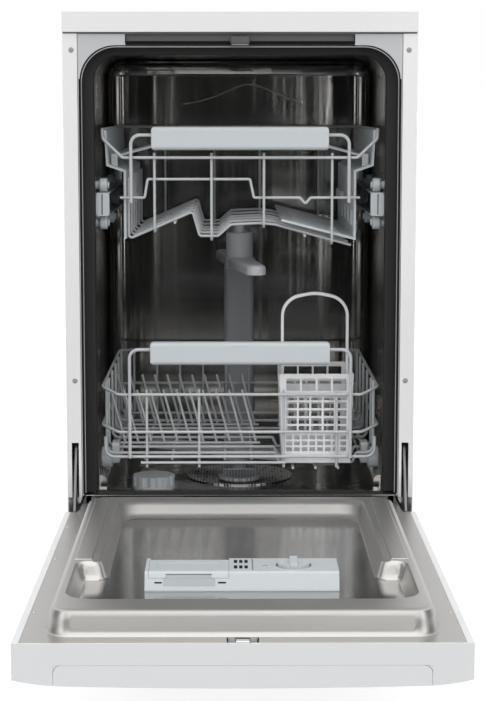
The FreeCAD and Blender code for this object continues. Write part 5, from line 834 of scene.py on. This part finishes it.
@dataclass
class WashSpace(SubAssembly):
    """The tub with its seal, filters, ducts, arms and rails."""

    body: str = "cabinet"
    nodes: tuple[str, ...] = (
        "tub", "door_gasket", "filter_plate", "filter_cup", "salt_cap", "spray_duct", "lower_spray_arm",
        "rail_supports", "rail_left", "rail_right", "roller_low_left", "roller_low_right", "roller_high_left",
        "roller_high_right",
    )
    bead_radius: float = 0.0007
    mouth_half: float = 0.2006
    mouth_low: float = 0.232
    mouth_top: float = 0.8040
    mouth_bend: float = 0.044
    bend_steps: int = 12
    seal_depth: float = 0.0022
    arch_ends: Span = (-0.085, 0.096)
    arch_middle: float = 0.016
    arch_width: float = 0.055
    arch_heights: Span = (0.7249, 0.7634)
    arch_steps: int = 36
    inside_tub: float = 0.30
    groove_shares: tuple[tuple[str, float], ...] = (("left", 0.46), ("right", 0.54))
    groove_half: float = 0.0006
    groove_proud: float = 0.0002
    groove_margin: float = 0.0015

    def seal_edge_highlight(self) -> None:
        """Adds a thin bead round the door seal's outer edge, painted pale as a highlight on the rubber."""
        path = [at(-self.mouth_half, self.seal_depth, self.mouth_low)]
        for side in (-1, 1):
            middle = (side * (self.mouth_half - self.mouth_bend), self.mouth_top - self.mouth_bend)
            for step in range(self.bend_steps + 1):
                angle = 90.0 * step / self.bend_steps
                turn = math.radians(angle if side < 0 else 90.0 - angle)
                x = middle[0] + side * self.mouth_bend * math.cos(turn)
                path.append(at(x, self.seal_depth, middle[1] + self.mouth_bend * math.sin(turn)))
        path.append(at(self.mouth_half, self.seal_depth, self.mouth_low))
        bm = bmesh.new()
        bead(bm, path, self.bead_radius)
        as_piece("seal_edge_highlight", bm, SEAL_HIGHLIGHT, self.body)

    def back_arch_reflection(self) -> None:
        """Adds a bright bell-shaped bead along the rear wall of the tub, a painted reflection line."""
        wall = Surface("tub")
        (left, right), (low, high) = self.arch_ends, self.arch_heights
        path = []
        for step in range(self.arch_steps + 1):
            x = left + (right - left) * step / self.arch_steps
            bell = 1.0 / (1.0 + ((x - self.arch_middle) / self.arch_width) ** 2)
            path.append(wall.touch(at(x, self.inside_tub, low + (high - low) * bell), (0, 1, 0)))
        bm = bmesh.new()
        bead(bm, path, self.bead_radius)
        as_piece("back_arch_reflection", bm, ARCH_REFLECTION, self.body)

    def rail_grooves(self) -> None:
        """Adds a dark strip of painted shade where the groove lies in the front end of each basket rail."""
        half, proud, margin = self.groove_half, self.groove_proud, self.groove_margin
        for side, share in self.groove_shares:
            node = "rail_" + side
            low, high = node_box(node)
            middle = low.x + (high.x - low.x) * share
            bm = bmesh.new()
            start = Vector((middle - half, low.y - proud, low.z + margin))
            block(bm, start, Vector((middle + half, low.y + proud, high.z - margin)))
            as_piece(node + "_groove_shade", bm, PAINTED_SHADE, node)

    def build(self) -> None:
        """Dresses the wash space and adds the painted highlight on the seal's edge, the painted reflection
        line on the rear wall and the painted shade of the rail grooves.
        """
        self.finishes = {"tub": TUB_STEEL, "filter_plate": SIEVE_STEEL, "filter_cup": SIEVE_PLASTIC}
        self.dress()
        self.seal_edge_highlight()
        self.back_arch_reflection()
        self.rail_grooves()


@dataclass
class UpperBasket(SubAssembly):
    """The upper wire basket with its arm and cup shelves."""

    body: str = "upper_basket"
    nodes: tuple[str, ...] = (
        "upper_basket_frame", "upper_handle", "upper_basket_sides", "upper_feed_tube", "upper_runners",
        "upper_spray_arm", "cup_shelf_left", "cup_shelf_right",
    )

    def build(self) -> None:
        """Dresses the upper basket."""
        self.end_rounding = {"upper_handle": HANDLE_ROUNDING}
        self.dress()


@dataclass
class LowerBasket(SubAssembly):
    """The lower wire basket with its wheels and cutlery basket."""

    body: str = "lower_basket"
    nodes: tuple[str, ...] = (
        "lower_basket_frame", "lower_handle", "wheel_clips", "cutlery_basket", "wheel_front_left",
        "wheel_front_right", "wheel_rear_left", "wheel_rear_right",
    )

    def build(self) -> None:
        """Dresses the lower basket."""
        self.end_rounding = {"lower_handle": HANDLE_ROUNDING}
        self.dress()


@dataclass
class Door(SubAssembly):
    """The drop-down door with its liner, controls and dispenser."""

    body: str = "door"
    nodes: tuple[str, ...] = (
        "door_outer_panel", "door_liner", "control_fascia", "grip_insert", "dispenser_body", "hinge_levers",
        "control_board", "detergent_lid", "rinse_aid_cap", "latch_hook", "programme_knob", "power_button",
        "start_button",
    )
    rim_depth: float = -0.002
    screw_x: float = 0.2115
    screw_heights: tuple[float, ...] = (0.326, 0.486, 0.709)
    screw_profile: Profile = (
        (0.0, 0.0002), (0.0007, 0.0002), (0.0009, 0.0006), (0.0016, 0.0005), (0.0021, 0.0),
    )
    lens_place: Span = (0.025, 0.622)
    lens_profile: Profile = ((0.0, 0.0010), (0.0016, 0.0009), (0.0029, 0.0005), (0.0034, 0.0))
    above_liner: float = 0.080
    below_front: float = -0.12
    knob_place: Span = (0.160, 0.739)
    mark_count: int = 12
    mark_ring: float = 0.0265
    mark_rise: float = 0.00015
    mark_flat: float = 0.9
    first_mark: float = 0.0016
    other_marks: float = 0.0010
    light_xs: tuple[float, ...] = (-0.080, -0.056, -0.032, -0.008)
    light_profile: Profile = ((0.0, 0.0007), (0.0010, 0.0005), (0.0016, 0.0))
    dispenser_top: float = 0.652
    dispenser_rise: Span = (0.006, 0.024)
    dispenser_lean: float = 7.0 / 18.0
    vent_xs: tuple[float, ...] = (-0.0085, -0.0029, 0.0027)
    vent_zs: tuple[float, ...] = (0.594, 0.618)
    vent_size: Span = (0.0036, 0.015)
    vent_depths: Span = (0.0012, 0.0006)
    well_x: Span = (-0.0826, -0.0280)
    well_y: Span = (0.0095, 0.0172)
    slot_x: Span = (-0.0798, -0.0322)
    slot_y: Span = (0.0164, 0.0206)
    # Ends of the lid's hinges, where dark plates paint the shade of the gaps
    hinge_shade_xs: tuple[Span, ...] = ((-0.0918, -0.0840), (-0.0252, -0.0168))
    hinge_shade_y: Span = (0.0122, 0.0137)
    skin_plate: Span = (0.0002, 0.0006)
    slot_plate: Span = (-0.0010, 0.0040)
    grip_bend: float = 0.008
    grip_gap: float = 0.00045
    grip_corner: float = 0.00025
    grip_inset: float = 0.0004
    grip_depth: float = 0.008
    grip_turns: Span = (78.0, 12.0)
    grip_steps: int = 8
    hook_slot: Span = (0.0072, 0.0142)
    lip_heights: Span = (0.2140, 0.2196)
    lip_thickness: float = 0.0004
    lip_start: float = -0.590

    def liner_screws(self) -> None:
        """Adds the small screws along the sides of the liner's flange."""
        bm = bmesh.new()
        for side in (-1, 1):
            for height in self.screw_heights:
                spot = on_open_door(side * self.screw_x, self.rim_depth, height)
                turned(bm, self.screw_profile, facing(spot, (0, 0, 1)), steps=16)
        as_piece("liner_screws", bm, ZINC_SCREW, self.body)

    def rinse_lens(self) -> None:
        """Adds the sight glass that shows how much rinse aid is left."""
        bm = bmesh.new()
        start = on_open_door(self.lens_place[0], self.above_liner, self.lens_place[1])
        spot = Surface("dispenser_body").touch(start, (0, 0, -1))
        turned(bm, self.lens_profile, facing(spot, (0, 0, 1)), steps=20)
        as_piece("rinse_lens", bm, SIGHT_GLASS, self.body)

    def _front_plate(self, bm: BMesh, x: Span, y: Span, plate: Span) -> None:
        """Adds a plate that lies along the leaning front of the dispenser.

        Args:
            bm: Mesh to add to.
            x: Left and right end.
            y: Rise on the shut door of the two long edges.
            plate: How far the plate stands out of the front, and its thickness.
        """
        proud, thick = plate
        outline = []
        for rise, level in ((y[0], proud), (y[1], proud), (y[1], proud - thick), (y[0], proud - thick)):
            front = self.dispenser_top - (rise - self.dispenser_rise[0]) * self.dispenser_lean
            outline.append(on_open_door(x[0], rise, front + level))
        prism(bm, outline, Vector((x[1] - x[0], 0.0, 0.0)))

    def dispenser_details(self) -> None:
        """Adds painted shade in the vents, a grey plate of painted shade in the finger well, the filled slot
        of the lid in the same grey, and dark plates of painted shade at the lid's hinge ends.
        """
        top = self.dispenser_rise[1]
        vents, well, slot, hinge_shades = (bmesh.new() for _ in range(4))
        # Dark plates inside the vents paint the shade in them
        for x in self.vent_xs:
            for z in self.vent_zs:
                low = on_open_door(x, top - self.vent_depths[0], z + self.vent_size[1])
                block(vents, low, on_open_door(x + self.vent_size[0], top - self.vent_depths[1], z))
        self._front_plate(well, self.well_x, self.well_y, self.skin_plate)
        self._front_plate(slot, self.slot_x, self.slot_y, self.slot_plate)
        for ends in self.hinge_shade_xs:
            self._front_plate(hinge_shades, ends, self.hinge_shade_y, self.skin_plate)
        as_piece("dispenser_vent_shade", vents, PAINTED_SHADE, self.body)
        as_piece("finger_well_shade", well, WELL_SHADE, self.body)
        as_piece("lid_slot", slot, WELL_SHADE, "detergent_lid")
        as_piece("lid_hinge_shade", hinge_shades, PAINTED_SHADE, self.body)

    def grip_corners(self) -> None:
        """Adds the rounded inner corners of the notch that the grip bar lies in."""
        low, high = node_box("grip_insert")
        slot = self.slots()["control_fascia"]
        front, reach = low.y + self.grip_inset, self.grip_bend + self.grip_gap
        first, last = self.grip_turns
        bm = bmesh.new()
        for side in (-1, 1):
            outline = [Vector((side * (high.x + self.grip_corner), front, high.z))]
            for step in range(self.grip_steps + 1):
                turn = math.radians(first + (last - first) * step / self.grip_steps)
                x = high.x - self.grip_bend + reach * math.cos(turn)
                outline.append(Vector((side * x, front, high.z - self.grip_bend + reach * math.sin(turn))))
            prism(bm, outline, Vector((0.0, self.grip_depth, 0.0)))
        as_piece("grip_corners", bm, FINISHES[slot], self.body)

    def slot_lips(self) -> None:
        """Adds the lips that are folded down at the far edge of the latch slot, beside the hook."""
        low, high = self.lip_heights
        liner = Surface("door_liner")
        bm = bmesh.new()
        for side in (-1, 1):
            near, far = sorted(side * edge for edge in self.hook_slot)
            wall = liner.touch(Vector(((near + far) / 2, self.lip_start, high)), (0, 1, 0)).y
            block(bm, Vector((near, wall - self.lip_thickness, low)), Vector((far, wall, high)))
        as_piece("slot_lips", bm, FINISHES["grey_paint"], self.body)

    def control_marks(self) -> None:
        """Adds the printed marks round the knob and the row of signal lamps."""
        front = Surface("control_fascia")
        across, height = self.knob_place
        marks, lights = bmesh.new(), bmesh.new()
        for step in range(self.mark_count):
            turn = math.tau * step / self.mark_count
            size = self.other_marks if step else self.first_mark
            profile = ((0.0, self.mark_rise), (size * self.mark_flat, self.mark_rise), (size, 0.0))
            x, z = across + self.mark_ring * math.sin(turn), height + self.mark_ring * math.cos(turn)
            spot = front.touch(on_open_door(x, self.below_front, z), (0, 0, 1))
            turned(marks, profile, facing(spot, (0, 0, -1)), steps=14)
        for x in self.light_xs:
            spot = front.touch(on_open_door(x, self.below_front, height), (0, 0, 1))
            turned(lights, self.light_profile, facing(spot, (0, 0, -1)), steps=16)
        as_piece("control_marks", marks, PRINT_GREY, self.body)
        as_piece("signal_lamps", lights, LENS_GREY, self.body)

    def build(self) -> None:
        """Dresses the door and adds its screws, its small mouldings, the painted shade on its dispenser and
        the marks of its controls.
        """
        self.finishes = {"door_liner": LINER_STEEL, "latch_hook": HOOK_STEEL, "hinge_levers": LEVER_STEEL}
        self.dress()
        self.liner_screws()
        self.rinse_lens()
        self.dispenser_details()
        self.grip_corners()
        self.slot_lips()
        self.control_marks()


# Studio


def sheet(name: str, half: float, material: Material) -> Object:
    """Adds a flat square to the scene.

    Args:
        name: Name of the square.
        half: Half the length of its side.
        material: Material that it takes.

    Returns:
        The new object.
    """
    bm = bmesh.new()
    bmesh.ops.create_grid(bm, x_segments=1, y_segments=1, size=half)
    mesh = bpy.data.meshes.new(name)
    bm.to_mesh(mesh)
    bm.free()
    mesh.materials.append(material)
    made = bpy.data.objects.new(name, mesh)
    bpy.context.scene.collection.objects.link(made)
    return made


@dataclass
class Lamp:
    """One soft lamp of the studio."""

    name: str
    place: Triple
    target: Triple
    size: Span
    power: float

    def build(self) -> None:
        """Adds the lamp to the scene."""
        data = bpy.data.lights.new(self.name, "AREA")
        data.shape = "RECTANGLE"
        data.size, data.size_y = self.size
        data.energy = self.power
        lamp = bpy.data.objects.new(self.name, data)
        lamp.location = self.place
        lamp.rotation_euler = (Vector(self.target) - Vector(self.place)).to_track_quat("-Z", "Y").to_euler()
        bpy.context.scene.collection.objects.link(lamp)


@dataclass
class Card:
    """A dark card outside the picture, which only the object's reflections show."""

    name: str
    place: Triple
    turn: Triple
    size: Span
    UNIT_HALF: ClassVar[float] = 0.5

    def build(self) -> None:
        """Adds the card to the scene."""
        card = sheet(self.name, self.UNIT_HALF, CARD_BLACK.material())
        card.location = self.place
        card.rotation_euler = [math.radians(angle) for angle in self.turn]
        card.scale = (*self.size, 1.0)
        card.visible_camera = False
        card.visible_diffuse = False
        card.visible_shadow = False


@dataclass
class Studio:
    """Floor, light and camera."""

    camera_place: Triple = (-0.00922, -2.3027, 0.7279)
    camera_pitch: float = 7.520
    camera_yaw: float = 0.313
    camera_lens: float = 94.42
    camera_sensor: float = 36.0
    world_light: float = 0.40
    floor_half: float = 400.0
    floor_tone: float = 0.30
    floor_roughness: float = 0.9
    floor_lift: Span = (0.84, 0.96)
    floor_fade: Span = (0.9, 2.6)
    lamps: tuple[Lamp, ...] = (
        Lamp("top_softbox", (0.0, -0.7, 3.3), (0.0, 0.0, 0.4), (4.4, 3.2), 52.0),
        Lamp("left_strip", (-2.6, -2.2, 1.2), (0.0, 0.0, 0.5), (1.0, 2.2), 20.0),
        Lamp("right_strip", (2.6, -2.2, 1.2), (0.0, 0.0, 0.5), (1.0, 2.2), 20.0),
        Lamp("front_fill", (0.0, -4.0, 2.7), (0.0, 0.0, 0.4), (6.0, 2.6), 69.0),
        Lamp("left_streak", (-0.60, -3.4, 0.9), (0.0, 0.2, 0.5), (0.10, 1.5), 3.0),
        Lamp("right_streak", (0.55, -3.4, 0.9), (0.0, 0.2, 0.5), (0.10, 1.5), 3.4),
    )
    cards: tuple[Card, ...] = (
        Card("front_card", (0.0, -5.2, 1.6), (90.0, 0.0, 0.0), (6.0, 3.2)),
        Card("left_card", (-3.4, -2.4, 1.6), (0.0, 90.0, 0.0), (3.2, 5.6)),
        Card("right_card", (3.4, -2.4, 1.6), (0.0, 90.0, 0.0), (3.2, 5.6)),
        Card("floor_card", (0.0, -3.2, 0.004), (0.0, 0.0, 0.0), (6.0, 3.9)),
    )

    @staticmethod
    def _seen(tree: NodeTree) -> NodeSocket:
        """Adds the test for rays that show the background, straight or in a reflection.

        Args:
            tree: Tree of the material or the world.

        Returns:
            Socket that is 1 for such a ray and 0 for any other.
        """
        path = tree.nodes.new("ShaderNodeLightPath")
        total = path.outputs["Is Camera Ray"]
        for label in ("Is Glossy Ray", "Is Transmission Ray"):
            total = Groups.math(tree, "MAXIMUM", total, path.outputs[label])
        return total

    def world(self) -> None:
        """Makes the plain white surroundings."""
        world = bpy.data.worlds.new("studio")
        bpy.context.scene.world = world
        world.use_nodes = True
        tree = world.node_tree
        back = tree.nodes["Background"]
        back.inputs["Color"].default_value = (1.0, 1.0, 1.0, 1.0)
        level = tree.nodes.new("ShaderNodeMapRange")
        level.inputs["To Min"].default_value = self.world_light
        level.inputs["To Max"].default_value = 1.0
        tree.links.new(self._seen(tree), level.inputs["Value"])
        tree.links.new(level.outputs["Result"], back.inputs["Strength"])

    def floor(self) -> None:
        """Lays a pale floor that keeps the machine's shadow and runs out into white."""
        made = bpy.data.materials.new("pale_floor")
        made.use_nodes = True
        tree = made.node_tree
        shader = tree.nodes["Principled BSDF"]
        shader.inputs["Base Color"].default_value = (self.floor_tone,) * 3 + (1.0,)
        shader.inputs["Roughness"].default_value = self.floor_roughness
        shader.inputs["Specular IOR Level"].default_value = 0.0
        shader.inputs["Emission Color"].default_value = (1.0, 1.0, 1.0, 1.0)
        place = tree.nodes.new("ShaderNodeTexCoord")
        reach = tree.nodes.new("ShaderNodeVectorMath")
        reach.operation = "LENGTH"
        tree.links.new(place.outputs["Object"], reach.inputs[0])
        lift = tree.nodes.new("ShaderNodeMapRange")
        lift.inputs["From Min"].default_value, lift.inputs["From Max"].default_value = self.floor_fade
        lift.inputs["To Min"].default_value, lift.inputs["To Max"].default_value = self.floor_lift
        tree.links.new(reach.outputs["Value"], lift.inputs["Value"])
        shown = Groups.math(tree, "MULTIPLY", lift.outputs["Result"], self._seen(tree))
        tree.links.new(shown, shader.inputs["Emission Strength"])
        floor = sheet("floor", self.floor_half, made)

    def camera(self) -> None:
        """Sets the camera where the photograph was taken from."""
        data = bpy.data.cameras.new("camera")
        data.lens = self.camera_lens
        data.sensor_width = self.camera_sensor
        camera = bpy.data.objects.new("camera", data)
        camera.location = self.camera_place
        pitch, yaw = math.radians(90.0 - self.camera_pitch), math.radians(-self.camera_yaw)
        camera.rotation_euler = Euler((pitch, 0.0, yaw))
        bpy.context.scene.collection.objects.link(camera)
        bpy.context.scene.camera = camera

    def build(self) -> None:
        """Sets up the whole studio."""
        bpy.context.scene.view_settings.view_transform = "Standard"
        self.world()
        self.floor()
        for item in self.cards + self.lamps:
            item.build()
        self.camera()


def main() -> None:
    """Builds the sub-assemblies and the studio."""
    for part in (Cabinet(), WashSpace(), UpperBasket(), LowerBasket(), Door()):
        part.build()
        LOG.info("dressed %s", type(part).__name__)
    Studio().build()


if __name__ == "__main__":
    main()
